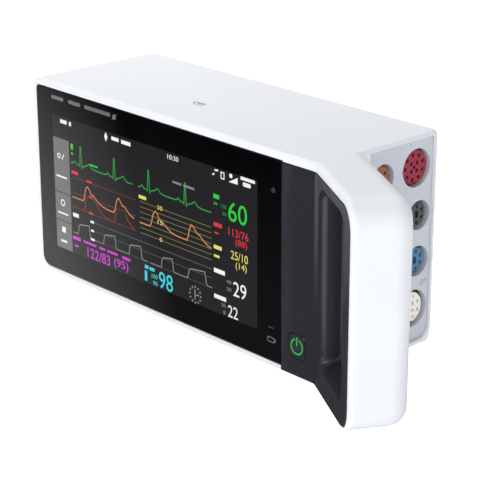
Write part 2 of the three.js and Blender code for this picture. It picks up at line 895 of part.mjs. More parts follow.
piece(
  "valve_manifold",
  join(
    block(112, 36, 28, 156, 58, 45),
    ...[120, 134, 148].map((x) => rod("z", x, VALVE.y, 5, 44, 52.4, 16)),
    rod("x", PUMP.y, VALVE.z, 2, 155, 159.6, 12),
  ),
  COLORS.black,
  0.5,
);

function airTube() {
  const start = new THREE.Vector3(159.9, PUMP.y, PUMP.z - 4);
  const end = new THREE.Vector3(159.9, PUMP.y, VALVE.z);
  const out = new THREE.Vector3(6.5, 0, 0);
  const path = new THREE.CubicBezierCurve3(start, start.clone().add(out), end.clone().add(out), end);
  const section = new THREE.Shape().absarc(0, 0, 1.9, 0, 2 * Math.PI);
  return new THREE.ExtrudeGeometry(section, { steps: 12, extrudePath: path, curveSegments: 5 });
}

piece("air_tube", airTube(), COLORS.grey, 0.5);

function ribbonCable() {
  const bend = outline([
    [124, 9.9],
    [136, 9.9, 3],
    [136, 17.6, 3],
    [124, 17.6],
    [124, 16.9],
    [135.3, 16.9, 2.4],
    [135.3, 10.6, 2.4],
    [124, 10.6],
  ]);
  return alongZ(bend, 32, 42);
}

piece("ribbon_cable", ribbonCable(), 0xc9a24a, 0.5);

// ---- Feet and screws ----------------------------------------------------------------

footSpots().forEach(([x, y], i) => {
  const low = BODY.bottom - FOOT.drop;
  piece("foot_" + (i + 1), rod("z", x, y, FOOT.radius, low, low + FOOT.thick, 20), COLORS.rubber, 0.9);
});

function screw(x, z, head) {
  const { headRadius, headHeight, shankRadius, shankLength } = SCREW;
  const slots = [0, 1].map((turn) =>
    new THREE.BoxGeometry(3.2, 2, 0.8).rotateY((turn * Math.PI) / 2).translate(x, head, z),
  );
  const under = head - headHeight;
  return cut(
    join(
      rod("y", x, z, headRadius, under, head, 20),
      rod("y", x, z, shankRadius, under - shankLength, under + 0.5, 12),
    ),
    join(...slots),
  );
}

eachPost((x, z) => [x, z]).forEach(([x, z], i) => {
  piece("cover_screw_" + (i + 1), screw(x, z, BODY.depth - 0.2), COLORS.metal, 0.3, 1);
});

dockScrews((x, z) => [x, z]).forEach(([x, z], i) => {
  const { headRadius, shankRadius } = SCREW;
  const top = BODY.depth - 0.1;
  const shape = join(
    rod("y", x, z, headRadius, top - 0.9, top, 20),
    rod("y", x, z, shankRadius, top - 5, top - 0.5, 12),
  );
  piece("dock_screw_" + (i + 1), shape, COLORS.metal, 0.3, 1);
});

// Set the monitor down: centred over the origin with its feet on Z = 0.
const box = new THREE.Box3().setFromObject(monitor);
monitor.position.set(-(box.min.x + box.max.x) / 2, -(box.min.y + box.max.y) / 2, -box.min.z);

export default monitor;
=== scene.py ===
"""The look of a compact bedside patient monitor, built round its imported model."""
import math

import bmesh
import bpy
from mathutils import Matrix, Vector


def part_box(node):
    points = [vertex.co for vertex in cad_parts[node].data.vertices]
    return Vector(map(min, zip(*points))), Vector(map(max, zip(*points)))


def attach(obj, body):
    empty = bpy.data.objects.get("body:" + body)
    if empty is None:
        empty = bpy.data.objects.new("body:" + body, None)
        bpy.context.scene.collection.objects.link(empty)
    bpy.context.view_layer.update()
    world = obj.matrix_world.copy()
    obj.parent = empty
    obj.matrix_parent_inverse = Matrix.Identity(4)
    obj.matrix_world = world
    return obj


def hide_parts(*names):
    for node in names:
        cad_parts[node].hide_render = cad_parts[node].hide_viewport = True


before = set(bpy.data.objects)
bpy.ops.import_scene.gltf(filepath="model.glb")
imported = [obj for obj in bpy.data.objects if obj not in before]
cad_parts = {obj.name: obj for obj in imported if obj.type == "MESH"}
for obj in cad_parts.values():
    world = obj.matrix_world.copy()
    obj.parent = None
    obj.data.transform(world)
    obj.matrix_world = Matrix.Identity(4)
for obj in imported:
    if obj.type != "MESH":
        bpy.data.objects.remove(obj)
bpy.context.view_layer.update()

# ---- The workshop frame: millimetres from the lower left corner of the cover glass ---

MM = 0.001
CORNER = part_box("cover_glass")[0]
TO_METRES = Matrix.Translation(CORNER) @ Matrix.Scale(MM, 4)

GAP = 0.3
GRIP_ANGLE = math.radians(30)
BEND_X = 186
BEND_RADIUS = 6
BEND_REACH = BEND_RADIUS * math.tan(GRIP_ANGLE / 2)
BEND_START = BEND_X - BEND_REACH
BEND_ARC = BEND_RADIUS * GRIP_ANGLE
GRIP_ALONG = Vector((math.cos(GRIP_ANGLE), -math.sin(GRIP_ANGLE)))
GRIP_INTO = Vector((math.sin(GRIP_ANGLE), math.cos(GRIP_ANGLE)))

BOTTOM, TOP = -3.0, 93.3
GRIP_WALL = 2.4
LEFT, RIGHT = -3.6, 188.0
DEPTH = 74.3
SEAM = 71.0
GRIP_REACH, GRIP_THICK = 52.8, 25.5


def on_grip(u, v, z):
    """A point u along the grip's front and v into it."""
    place = Vector((BEND_X, 0)) + u * GRIP_ALONG + v * GRIP_INTO
    return (place.x, place.y, z)


def wrap(s, v, z):
    """A point of the flat front trim, wrapped round the bend: s along it, v into it."""
    if s <= BEND_START:
        return (s, v, z)
    if s < BEND_START + BEND_ARC:
        turn = (s - BEND_START) / BEND_RADIUS
        radius = BEND_RADIUS + v
        return (BEND_START + radius * math.sin(turn), radius * math.cos(turn) - BEND_RADIUS, z)
    return on_grip(BEND_REACH + s - BEND_START - BEND_ARC, v, z)


def flat_s(u):
    """How far along the flat trim a point u along the grip lies."""
    return u - BEND_REACH + BEND_START + BEND_ARC


# ---- Mesh tools ----------------------------------------------------------------------


def rounded(corners, steps=8):
    """A closed outline through [x, y, radius] corners, with the same count for every corner."""
    points = []
    for i, (x, y, radius) in enumerate(corners):
        corner = Vector((x, y))
        back = (Vector(corners[i - 1][:2]) - corner).normalized()
        ahead = (Vector(corners[(i + 1) % len(corners)][:2]) - corner).normalized()
        half = back.angle(ahead) / 2
        centre = corner + (back + ahead).normalized() * (radius / math.sin(half))
        start = corner + back * (radius / math.tan(half)) - centre
        end = corner + ahead * (radius / math.tan(half)) - centre
        sweep = start.angle_signed(end)
        for step in range(steps + 1):
            points.append(centre + Matrix.Rotation(-sweep * step / steps, 2) @ start)
    return [(p.x, p.y) for p in points]


SHARP = 0.02


def box_outline(x0, y0, x1, y1, radius=SHARP, steps=8, grow=0.0):
    """A box grown on every side; radius is one number, or one for each corner."""
    radii = radius if isinstance(radius, tuple) else (radius,) * 4
    x0, y0, x1, y1 = x0 - grow, y0 - grow, x1 + grow, y1 + grow
    places = [(x0, y0), (x1, y0), (x1, y1), (x0, y1)]
    return rounded([place + (r,) for place, r in zip(places, radii)], steps)


def tidied(name, mesh, reach):
    """A piece of a mesh, with points closer than reach joined and its faces turned outward."""
    form = bmesh.new()
    form.from_mesh(mesh)
    bmesh.ops.remove_doubles(form, verts=form.verts, dist=reach)
    bmesh.ops.recalc_face_normals(form, faces=form.faces)
    form.to_mesh(mesh)
    form.free()
    return place_piece(name, mesh)


def place_piece(name, mesh):
    piece = bpy.data.objects.new(name, mesh)
    bpy.context.scene.collection.objects.link(piece)
    return piece


def make(name, points, faces):
    mesh = bpy.data.meshes.new(name)
    mesh.from_pydata([tuple(p) for p in points], [], faces)
    return tidied(name, mesh, 0.002)


def loft(name, rings):
    """A closed solid through rings of points, all with the same count."""
    count = len(rings[0])
    points = [p for ring in rings for p in ring]
    faces = []
    for level in range(len(rings) - 1):
        for i in range(count):
            j = (i + 1) % count
            base = level * count
            faces.append((base + i, base + j, base + count + j, base + count + i))
    faces.append(tuple(range(count)))
    faces.append(tuple(range(len(points) - count, len(points))))
    return make(name, points, faces)


AXES = {
    "x": lambda a, b, depth: (depth, a, b),
    "y": lambda a, b, depth: (a, depth, b),
    "z": lambda a, b, depth: (a, b, depth),
}


def prism(axis, outline, low, high):
    """An outline filled from low to high along an axis."""
    rings = [[AXES[axis](a, b, level) for a, b in outline] for level in (low, high)]
    return loft("prism", rings)


def block(x0, y0, z0, x1, y1, z1):
    return prism("z", [(x0, y0), (x1, y0), (x1, y1), (x0, y1)], z0, z1)


def lathe(name, axis, a, b, profile, sides=64):
    """A round solid: profile is [depth, radius] along the axis through (a, b)."""
    turns = [2 * math.pi * i / sides for i in range(sides)]
    rings = [
        [AXES[axis](a + r * math.cos(t), b + r * math.sin(t), depth) for t in turns]
        for depth, r in profile
    ]
    return loft(name, rings)


def rod(axis, a, b, radius, low, high, sides=32):
    return lathe("rod", axis, a, b, [(low, radius), (high, radius)], sides)


def settle(piece):
    """Turns a piece's modifiers into its mesh."""
    depsgraph = bpy.context.evaluated_depsgraph_get()
    mesh = bpy.data.meshes.new_from_object(piece.evaluated_get(depsgraph))
    piece.modifiers.clear()
    piece.data = mesh
    return piece


def combine(base, tools, operation="DIFFERENCE"):
    for tool in tools:
        step = base.modifiers.new("combine", "BOOLEAN")
        step.object = tool
        step.operation = operation
        step.solver = "EXACT"
    settle(base)
    for tool in tools:
        bpy.data.objects.remove(tool)
    return base


def ease(piece, width, segments, angle):
    """Rounds the sharp edges of a piece that is still in millimetres."""
    step = piece.modifiers.new("ease", "BEVEL")
    step.width = width
    step.segments = segments
    step.limit_method = "ANGLE"
    step.angle_limit = math.radians(angle)
    step.use_clamp_overlap = True
    return settle(piece)


def join_pieces(name, pieces):
    """One mesh of several closed solids that don't touch."""
    form = bmesh.new()
    for part in pieces:
        form.from_mesh(part.data)
        bpy.data.objects.remove(part)
    mesh = bpy.data.meshes.new(name)
    form.to_mesh(mesh)
    form.free()
    return place_piece(name, mesh)


def smooth(piece, angle=32):
    piece.data.polygons.foreach_set("use_smooth", [True] * len(piece.data.polygons))
    piece.data.set_sharp_from_angle(angle=math.radians(angle))
    level = piece.modifiers.new("even_shading", "WEIGHTED_NORMAL")
    level.keep_sharp = True


def mount(piece, name, slot, material, *replaces):
    """Gives a finished piece of the housing its name, material and true size; the slot is not used.
    """
    piece.name = name
    piece.data.name = name
    piece.data.transform(TO_METRES)
    piece.data.materials.clear()
    piece.data.materials.append(material)
    smooth(piece)
    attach(piece, "housing")
    if replaces:
        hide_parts(*replaces)


# ---- Material groups -----------------------------------------------------------------


def linear(r, g, b):
    """A display colour of 0 to 255 as the linear colour that a shader takes."""
    return tuple(
        c / 255 / 12.92 if c / 255 <= 0.04045 else ((c / 255 + 0.055) / 1.055) ** 2.4
        for c in (r, g, b)
    ) + (1.0,)


def scaled(colour, factor, lift=0.0):
    return tuple(min(1.0, c * factor + lift) for c in colour[:3]) + (1.0,)


def new_group(name, inputs, outputs):
    """A shader node group with number sockets: inputs are (name, default), outputs names."""
    group = bpy.data.node_groups.new(name, "ShaderNodeTree")
    for label, default in inputs:
        socket = group.interface.new_socket(label, in_out="INPUT", socket_type="NodeSocketFloat")
        socket.default_value = default
    for label in outputs:
        group.interface.new_socket(label, in_out="OUTPUT", socket_type="NodeSocketFloat")
    entry = group.nodes.new("NodeGroupInput")
    leave = group.nodes.new("NodeGroupOutput")
    return group, entry, leave


def feed(tree, socket, value):
    """Links a socket to another, or sets it to a number or colour."""
    if isinstance(value, bpy.types.NodeSocket):
        tree.links.new(value, socket)
    else:
        socket.default_value = value


def math_node(tree, operation, *values, clamp=False):
    node = tree.nodes.new("ShaderNodeMath")
    node.operation = operation
    node.use_clamp = clamp
    for socket, value in zip(node.inputs, values):
        feed(tree, socket, value)
    return node.outputs[0]


def times(tree, a, b):
    return math_node(tree, "MULTIPLY", a, b)


def plus(tree, a, b):
    return math_node(tree, "ADD", a, b)


def vector_node(tree, operation, a, b=None, out=0):
    node = tree.nodes.new("ShaderNodeVectorMath")
    node.operation = operation
    feed(tree, node.inputs[0], a)
    if b is not None:
        feed(tree, node.inputs[1], b)
    return node.outputs[out]


def object_place(tree):
    return tree.nodes.new("ShaderNodeTexCoord").outputs["Object"]


def split_axes(tree, vector):
    node = tree.nodes.new("ShaderNodeSeparateXYZ")
    tree.links.new(vector, node.inputs[0])
    return node.outputs


def stretched(tree, vector, scale, turn=(0.0, 0.0, 0.0)):
    node = tree.nodes.new("ShaderNodeMapping")
    tree.links.new(vector, node.inputs["Vector"])
    node.inputs["Scale"].default_value = scale
    node.inputs["Rotation"].default_value = turn
    return node.outputs[0]


def noise_node(tree, vector, scale, detail, roughness):
    node = tree.nodes.new("ShaderNodeTexNoise")
    for label, value in zip(("Vector", "Scale", "Detail", "Roughness"),
                            (vector, scale, detail, roughness)):
        feed(tree, node.inputs[label], value)
    return node.outputs["Fac"]


def spread(tree, value, low, high):
    """Stretches values from low to high out to 0 to 1."""
    node = tree.nodes.new("ShaderNodeMapRange")
    tree.links.new(value, node.inputs["Value"])
    node.inputs["From Min"].default_value = low
    node.inputs["From Max"].default_value = high
    return node.outputs["Result"]


def mix_colours(tree, share, first, second, blend="MIX"):
    node = tree.nodes.new("ShaderNodeMix")
    node.data_type = "RGBA"
    node.blend_type = blend
    for index, value in ((0, share), (6, first), (7, second)):
        feed(tree, node.inputs[index], value)
    return node.outputs[2]


def moulded_grain_group():
    """Fine spark-eroded grain of a moulded part, as a height and a speckle mask."""
    inputs, outputs = [("Grain Scale", 2600.0)], ["Height", "Speckle"]
    group, entry, leave = new_group("moulded grain", inputs, outputs)
    scale = entry.outputs["Grain Scale"]
    place = object_place(group)
    fine = noise_node(group, place, scale, 3.0, 0.6)
    cells = group.nodes.new("ShaderNodeTexVoronoi")
    feed(group, cells.inputs["Vector"], place)
    feed(group, cells.inputs["Scale"], times(group, scale, 0.62))
    pits = times(group, spread(group, cells.outputs["Distance"], 0.05, 0.75), 0.5)
    feed(group, leave.inputs["Height"], plus(group, pits, times(group, fine, 0.6)))
    feed(group, leave.inputs["Speckle"], spread(group, fine, 0.35, 0.65))
    return group


def handling_group():
    """Soft clouds where hands and cloths have been: a mask for colour and one for gloss."""
    group, entry, leave = new_group("handling marks", [("Patch Scale", 28.0)], ["Tone", "Gloss"])
    scale = entry.outputs["Patch Scale"]
    place = object_place(group)
    clouds = spread(group, noise_node(group, place, scale, 5.0, 0.6), 0.35, 0.7)
    slanted = stretched(group, place, (1.0, 1.0, 7.0), (0.3, 0.5, 0.9))
    streaks = noise_node(group, slanted, times(group, scale, 9.0), 2.0, 0.5)
    wipes = spread(group, streaks, 0.45, 0.75)
    feed(group, leave.inputs["Tone"], clouds)
    gloss = plus(group, times(group, clouds, 0.6), times(group, wipes, 0.4))
    feed(group, leave.inputs["Gloss"], gloss)
    return group


def edge_rub_group():
    """A mask of outer edges, where a finish is rubbed lighter or smoother."""
    group, entry, leave = new_group("edge rub", [("Strength", 1.0)], ["Mask"])
    shape = group.nodes.new("ShaderNodeNewGeometry")
    edge = spread(group, shape.outputs["Pointiness"], 0.52, 0.6)
    broken = spread(group, noise_node(group, object_place(group), 260.0, 4.0, 0.65), 0.3, 0.7)
    rubbed = times(group, edge, broken)
    mask = math_node(group, "MULTIPLY", rubbed, entry.outputs["Strength"], clamp=True)
    feed(group, leave.inputs["Mask"], mask)
    return group


def panel_rows_group():
    """The fine rows of a lit panel, as a brightness mask."""
    group, entry, leave = new_group("panel rows", [("Rows Per Metre", 5200.0)], ["Brightness"])
    axes = split_axes(group, object_place(group))
    waves = [
        math_node(group, "SINE", times(group, axes[axis], entry.outputs["Rows Per Metre"]))
        for axis in ("X", "Z")
    ]
    grid = times(group, plus(group, *waves), 0.5)
    feed(group, leave.inputs["Brightness"], plus(group, times(group, grid, 0.1), 1.0))
    return group


GRAIN = moulded_grain_group()
HANDLING = handling_group()
RUB = edge_rub_group()
ROWS = panel_rows_group()


def place_group(tree, group, value):
    """Puts a group in a material, with the value of its one input."""
    node = tree.nodes.new("ShaderNodeGroup")
    node.node_tree = group
    node.inputs[0].default_value = value
    return node.outputs


def blank_material(name):
    material = bpy.data.materials.new(name)
    material.use_nodes = True
    tree = material.node_tree
    return material, tree, tree.nodes["Principled BSDF"]


def add_relief(tree, shader, height, strength, distance):
    relief = tree.nodes.new("ShaderNodeBump")
    relief.inputs["Strength"].default_value = strength
    relief.inputs["Distance"].default_value = distance
    feed(tree, relief.inputs["Height"], height)
    feed(tree, shader.inputs["Normal"], relief.outputs["Normal"])


def moulded(name, colour, roughness, deep, grain=2600.0, bump=0.12, rub=0.5, pale=None, coat=0.0,
            glow=None):
    """Moulded or finished hard material: base colour, handling marks, rubbed edges, grain."""
    material, tree, shader = blank_material(name)
    base, deep = linear(*colour), linear(*deep)
    pale = linear(*pale) if pale else scaled(base, 1.12, 0.01)
    texture = place_group(tree, GRAIN, grain)
    hands = place_group(tree, HANDLING, 28.0)
    mask = place_group(tree, RUB, rub)["Mask"]
    toned = mix_colours(tree, times(tree, hands["Tone"], 0.6), base, deep)
    speckled = mix_colours(tree, times(tree, texture["Speckle"], 0.25), toned, deep)
    feed(tree, shader.inputs["Base Color"], mix_colours(tree, mask, speckled, pale))
    gloss = math_node(tree, "MULTIPLY_ADD", hands["Gloss"], 0.1, roughness - 0.05)
    worn = math_node(tree, "SUBTRACT", gloss, times(tree, mask, 0.1), clamp=True)
    feed(tree, shader.inputs["Roughness"], worn)
    add_relief(tree, shader, texture["Height"], bump, 0.00006)
    shader.inputs["Coat Weight"].default_value = coat
    shader.inputs["Coat Roughness"].default_value = 0.12
    if glow:
        shine = mix_colours(tree, hands["Tone"], linear(*glow), deep)
        feed(tree, shader.inputs["Emission Color"], shine)
        shader.inputs["Emission Strength"].default_value = 0.55
    return material


def brushed_metal(name, colour, roughness):
    """Metal with fine drawn lines along one way."""
    material, tree, shader = blank_material(name)
    drawn = stretched(tree, object_place(tree), (60.0, 3000.0, 3000.0))
    lines = noise_node(tree, drawn, 1.0, 4.0, 0.6)
    hands = place_group(tree, HANDLING, 60.0)
    base = linear(*colour)
    tone = mix_colours(tree, spread(tree, lines, 0.3, 0.7), scaled(base, 0.8), base)
    feed(tree, shader.inputs["Base Color"], tone)
    gloss = math_node(tree, "MULTIPLY_ADD", hands["Gloss"], 0.15, roughness)
    feed(tree, shader.inputs["Roughness"], gloss)
    add_relief(tree, shader, lines, 0.15, 0.00003)
    shader.inputs["Metallic"].default_value = 1.0
    return material


def glass_face(name, dark, less_dark):
    """Dark printed glass: a black layer under a clear polished face with faint smears."""
    material, tree, shader = blank_material(name)
    hands = place_group(tree, HANDLING, 22.0)
    colour = mix_colours(tree, hands["Tone"], linear(*dark), linear(*less_dark))
    feed(tree, shader.inputs["Base Color"], colour)
    gloss = math_node(tree, "MULTIPLY_ADD", hands["Gloss"], 0.05, 0.05)
    feed(tree, shader.inputs["Roughness"], gloss)
    shader.inputs["IOR"].default_value = 1.5
    return material, tree, shader, hands


def lit(name, colour):
    """A lit part of the display seen through the glass, with the glass's own gloss over it."""
    material, tree, shader, hands = glass_face(name, (6, 6, 7), (9, 9, 10))
    bright = linear(*colour)
    rows = place_group(tree, ROWS, 5200.0)
    toned = mix_colours(tree, hands["Tone"], bright, scaled(bright, 0.92))
    shaded = mix_colours(tree, 1.0, toned, rows["Brightness"], "MULTIPLY")
    feed(tree, shader.inputs["Emission Color"], shaded)
    shader.inputs["Emission Strength"].default_value = 1.0
    return material


def fine_moulded(name, colour, deep, rub=0.5):
    """The finer finish of a small moulded insert."""
    return moulded(name, colour, 0.42, deep, grain=3600.0, bump=0.14, rub=rub)


WHITE = moulded("white shell plastic", (240, 241, 244), 0.4, (232, 233, 237), rub=0.25, bump=0.1)
WHITE_FINE = moulded("white flap plastic", (238, 239, 242), 0.42, (229, 230, 234), rub=0.3)
CHARCOAL = {"colour": (44, 44, 51), "roughness": 0.33, "deep": (38, 38, 44), "pale": (70, 70, 78)}
DARK = moulded("charcoal grip plastic", grain=3200.0, bump=0.22, rub=0.35, **CHARCOAL)
BUTTON_DARK = moulded("charcoal button plastic", grain=3600.0, bump=0.18, rub=0.4, **CHARCOAL)
GLASS = glass_face("printed cover glass", (5, 5, 6), (8, 8, 10))[0]
LENS = moulded("smoked lamp lens", (112, 112, 116), 0.22, (92, 92, 98), grain=5200.0, bump=0.05,
               rub=0.2, coat=0.6)
SENSOR = moulded("sensor window", (58, 56, 62), 0.2, (40, 40, 46), grain=4800.0, bump=0.05,
                 coat=0.5)
RUBBER = moulded("black rubber", (36, 37, 39), 0.82, (28, 29, 31), grain=1800.0, bump=0.5,
                 rub=0.6, pale=(64, 64, 66))
PANEL = moulded("grey connector plastic", (206, 208, 216), 0.44, (196, 199, 207), grain=3000.0,
                bump=0.14, rub=0.3)
RED = fine_moulded("wine red insert plastic", (158, 22, 56), (134, 18, 48))
BROWN = fine_moulded("brown insert plastic", (160, 100, 66), (138, 84, 54))
GREY = fine_moulded("grey insert plastic", (76, 78, 71), (62, 64, 58))
BLUE = fine_moulded("blue insert plastic", (72, 128, 166), (60, 108, 144))
CREAM = fine_moulded("cream insert plastic", (252, 246, 236), (240, 233, 222), rub=0.4)
BLACK = moulded("black plastic", (30, 30, 32), 0.5, (22, 22, 24), pale=(60, 60, 64), bump=0.25)
PINHOLE = moulded("pin socket black", (18, 16, 17), 0.6, (12, 11, 12), grain=5200.0, bump=0.2)
BOARD = moulded("green solder mask", (32, 92, 62), 0.36, (22, 66, 44), grain=1400.0, bump=0.3,
                rub=0.6, coat=0.4)
BATTERY = moulded("battery wrap", (112, 115, 122), 0.5, (92, 95, 102), grain=2200.0, bump=0.2)
TUBE = moulded("milky silicone", (196, 198, 196), 0.35, (176, 178, 176), grain=1600.0, bump=0.1)
RIBBON = moulded("amber ribbon film", (176, 120, 52), 0.3, (150, 98, 40), grain=1200.0, bump=0.1)
LCD = moulded("display sandwich", (40, 42, 46), 0.3, (30, 32, 36), bump=0.1)
SYMBOL = moulded("green power symbol", (52, 150, 72), 0.4, (40, 128, 60), grain=4200.0,
                 bump=0.1, glow=(64, 178, 84))
STEEL = brushed_metal("zinc steel", (186, 190, 196), 0.3)
ALLOY = brushed_metal("folded alloy sheet", (176, 180, 186), 0.38)

# ---- Shell ---------------------------------------------------------------------------


def meet(first, second):
    """Where two lines (normal x, normal y, distance) cross."""
    a, b, c = first
    d, e, f = second
    det = a * e - b * d
    return ((c * e - b * f) / det, (a * f - c * d) / det)


def rounding(radius, depth):
    """How far a rounded edge draws in at a depth below the face that it ends in."""
    if depth >= radius:
        return 0.0
    return radius - math.sqrt(radius * radius - (radius - depth) ** 2)


# Edge radii, against the roof and against the floor.
FRONT_EDGE, GRIP_FRONT_EDGE, GRIP_END_EDGE, GRIP_REAR_EDGE, RIGHT_EDGE = 1.4, 2.4, 12.5, 8.0, 2.0
REAR_EDGE = {"roof": 4.6, "floor": 8.4}
LEFT_EDGE = {"roof": 6.0, "floor": 8.0}
STEPS_DOWN = [0, 0.05, 0.15, 0.3, 0.5, 0.75, 1.05, 1.4, 1.8, 2.3, 2.9, 3.6, 4.5, 5.5, 6.6, 7.8, 9.2,
              10.8, 12.6]


def hull_ring(side, down):
    base = GRIP_INTO.x * BEND_X
    along = GRIP_ALONG.x * BEND_X
    front, grip_front, grip_end, grip_rear, right, rear, left = (
        rounding(radius, down)
        for radius in (FRONT_EDGE, GRIP_FRONT_EDGE, GRIP_END_EDGE, GRIP_REAR_EDGE, RIGHT_EDGE,
                       REAR_EDGE[side], LEFT_EDGE[side])
    )
    lines = [
        (0, 1, front),
        (GRIP_INTO.x, GRIP_INTO.y, base + grip_front),
        (GRIP_ALONG.x, GRIP_ALONG.y, along + GRIP_REACH - grip_end),
        (GRIP_INTO.x, GRIP_INTO.y, base + GRIP_THICK - grip_rear),
        (1, 0, RIGHT - right),
        (0, 1, DEPTH - rear),
        (1, 0, LEFT + left),
    ]
    radii = [
        BEND_RADIUS + front,
        max(0.4, 2.4 - grip_front),
        max(0.4, 8 - grip_rear),
        1.5,
        max(0.5, 6.3 - rear),
        max(0.5, 6.3 - rear),
        max(0.4, 1.4 - front),
    ]
    corners = [meet(lines[i], lines[(i + 1) % 7]) + (radii[i],) for i in range(7)]
    z = TOP - down if side == "roof" else BOTTOM + down
    return [(x, y, z) for x, y in rounded(corners)]


def hull():
    floor = [hull_ring("floor", down) for down in STEPS_DOWN]
    roof = [hull_ring("roof", down) for down in reversed(STEPS_DOWN)]
    return loft("hull", floor + roof)


def mouth(axis, shape, face, floor, lip):
    """A cutter from outside a face down to a floor, flared at the face by a rounded lip.

    shape(grow) gives the outline; face and floor are depths along the axis."""
    way = 1 if floor > face else -1
    steps = [(face - way * 4, lip), (face, lip)]
    for share in (0.06, 0.2, 0.42, 0.7, 1.0):
        steps.append((face + way * lip * share, rounding(lip, lip * share)))
    steps.append((floor, 0.0))
    rings = [[AXES[axis](a, b, depth) for a, b in shape(grow)] for depth, grow in steps]
    return loft("mouth", rings)


GLASS_WIDTH, GLASS_HEIGHT = 166.5, 89.7


def glass_outline(grow):
    radii = (5 + grow, SHARP, SHARP, 1.8 + grow)
    return box_outline(0, 0, GLASS_WIDTH, GLASS_HEIGHT, radii, grow=grow)


TRIM_START, TRIM_END, TRIM_LOW, TRIM_HIGH, TRIM_CORNER = 166.8, 49.1, -1.9, 89.2, 9.5


def wrapped(piece):
    """Cuts a flat piece (s, v, z) into slices over the bend and wraps it round."""
    form = bmesh.new()
    form.from_mesh(piece.data)
    for step in range(9):
        s = BEND_START + BEND_ARC * step / 8
        every = form.verts[:] + form.edges[:] + form.faces[:]
        bmesh.ops.bisect_plane(form, geom=every, plane_co=(s, 0, 0), plane_no=(1, 0, 0))
    for vertex in form.verts:
        vertex.co = Vector(wrap(*vertex.co))
    form.to_mesh(piece.data)
    form.free()
    return piece


def trim_outline(grow):
    """The trim's outline laid flat, as s and z, grown on every side."""
    corner = TRIM_CORNER + grow
    radii = (SHARP, corner, corner, SHARP)
    return box_outline(TRIM_START, TRIM_LOW, flat_s(TRIM_END), TRIM_HIGH, radii, 12, grow)


def trim_pocket():
    return wrapped(mouth("y", lambda grow: trim_outline(GAP + grow), 0.0, 2.5, 0.45))


def grip_room():
    outline = box_outline(-13, BOTTOM + GRIP_WALL, 50.4, TOP - GRIP_WALL, 10)
    room = prism("y", outline, 2.2, 23.1)
    for vertex in room.data.vertices:
        vertex.co = on_grip(*vertex.co)
    return room


PANEL_FRONT, PANEL_REAR, PANEL_LOW, PANEL_HIGH, PANEL_FACE = 29.8, 69.3, -0.1, 91, 186.4


def panel_outline(grow):
    radii = (SHARP, 6 + grow, 1.5 + grow, SHARP)
    return box_outline(PANEL_FRONT, PANEL_LOW, PANEL_REAR, PANEL_HIGH, radii, grow=grow)


FEET = [(x, y) for x in (14, 170) for y in (14, 61)]
COVER_SCREWS = [(x, z) for x in (6.2, 164) for z in (6, 84.6)]


def main_shell():
    tools = [
        block(-20, SEAM, -20, 260, 100, 120),
        prism("y", box_outline(-1.2, -0.6, 185.6, 90.9, 4), 4.8, 81),
        block(3, 0.5, 3, 184, 6.8, 86.5),
        grip_room(),
        mouth("y", lambda grow: glass_outline(GAP + grow), 0.0, 2.8, 0.4),
        trim_pocket(),
        mouth("x", lambda grow: panel_outline(GAP + grow), RIGHT, 182.0, 0.6),
    ]
    tools += [rod("z", x, y, 5.8, -4, -1.9, 48) for x, y in FEET]
    shell = combine(hull(), tools)
    mount(shell, "white_shell", "shell_white", WHITE, "main_housing")


DOOR_LEFT, DOOR_RIGHT, DOOR_LOW, DOOR_HIGH = 10, 108, 14.5, 77


def rear_shell():
    cover = combine(hull(), [block(-20, -60, -20, 260, SEAM + GAP, 120)])
    dock_wall = prism("y", box_outline(114, 18, 178, 82, 2), 70.3, 73.3)
    lip = combine(
        prism("y", box_outline(-0.9, -0.3, 171, 90.6, 4), 68.0, 72.0),
        [prism("y", box_outline(0.8, 1.4, 169.3, 88.9, 3), 67, 73)],
    )
    ears = [block(x, 68.6, 15.6, x + 4, DEPTH - 1, 21.6) for x in (5.7, 108.3)]
    room = prism("y", box_outline(0.8, 1.4, 183, 88.9, 3), 67, 71.7)
    combine(cover, [room])
    combine(cover, [dock_wall, lip] + ears, "UNION")
    hole = lambda grow: box_outline(
        DOOR_LEFT, DOOR_LOW, DOOR_RIGHT, DOOR_HIGH, (SHARP, SHARP, 3, 3), grow=GAP + grow
    )
    seat = lambda grow: box_outline(116, 20, 176, 80, 2, grow=GAP + grow)
    tools = [
        mouth("y", hole, DEPTH, 66, 0.3),
        mouth("y", seat, DEPTH, 72.3, 0.4),
        prism("y", box_outline(133.7, 35.7, 158.3, 47.3, 0.5), 60, 90),
        prism("y", box_outline(138.7, 58.2, 153.3, 69.3, 0.5), 60, 90),
        rod("x", 71.6, 18.6, 1.3, 7.4, 110.6),
    ]
    for i in range(7):
        x = 126 + 4.4 * i
        slot = lambda grow, x=x: box_outline(x, 5.5, x + 1.8, 14.5, 0.8, grow=grow)
        tools.append(mouth("y", slot, DEPTH, 60, 0.25))
    for x, z in COVER_SCREWS:
        sink = lambda grow, x=x, z=z: [
            (x + (3.2 + grow) * math.cos(t), z + (3.2 + grow) * math.sin(t))
            for t in (2 * math.pi * i / 40 for i in range(40))
        ]
        tools.append(mouth("y", sink, DEPTH, 72.0, 0.3))
    combine(cover, tools)
    sill = [
        block(8.1, 67.4, 12.6, 109.9, 73.3, 14.2),
        block(8.1, 67.4, 12.6, 109.9, 69.0, 19.0),
    ]
    combine(cover, sill, "UNION")
    mount(cover, "white_back_cover", "shell_white", WHITE, "rear_cover")


# ---- Grip trim -----------------------------------------------------------------------

RECESS_IN, RECESS_OUT, RECESS_LOW, RECESS_HIGH, RECESS_DEPTH = 5.0, 40.0, 6.5, 85.5, 12.0


def ramp(t, start, end):
    """Rises from 0 to 1 with a soft start and a soft end."""
    t = min(1.0, max(0.0, t))
    slope = 1 / (1 - start / 2 - end / 2)
    if t < start:
        return slope * t * t / (2 * start)
    if t > 1 - end:
        return 1 - slope * (1 - t) ** 2 / (2 * end)
    return slope * (t - start / 2)


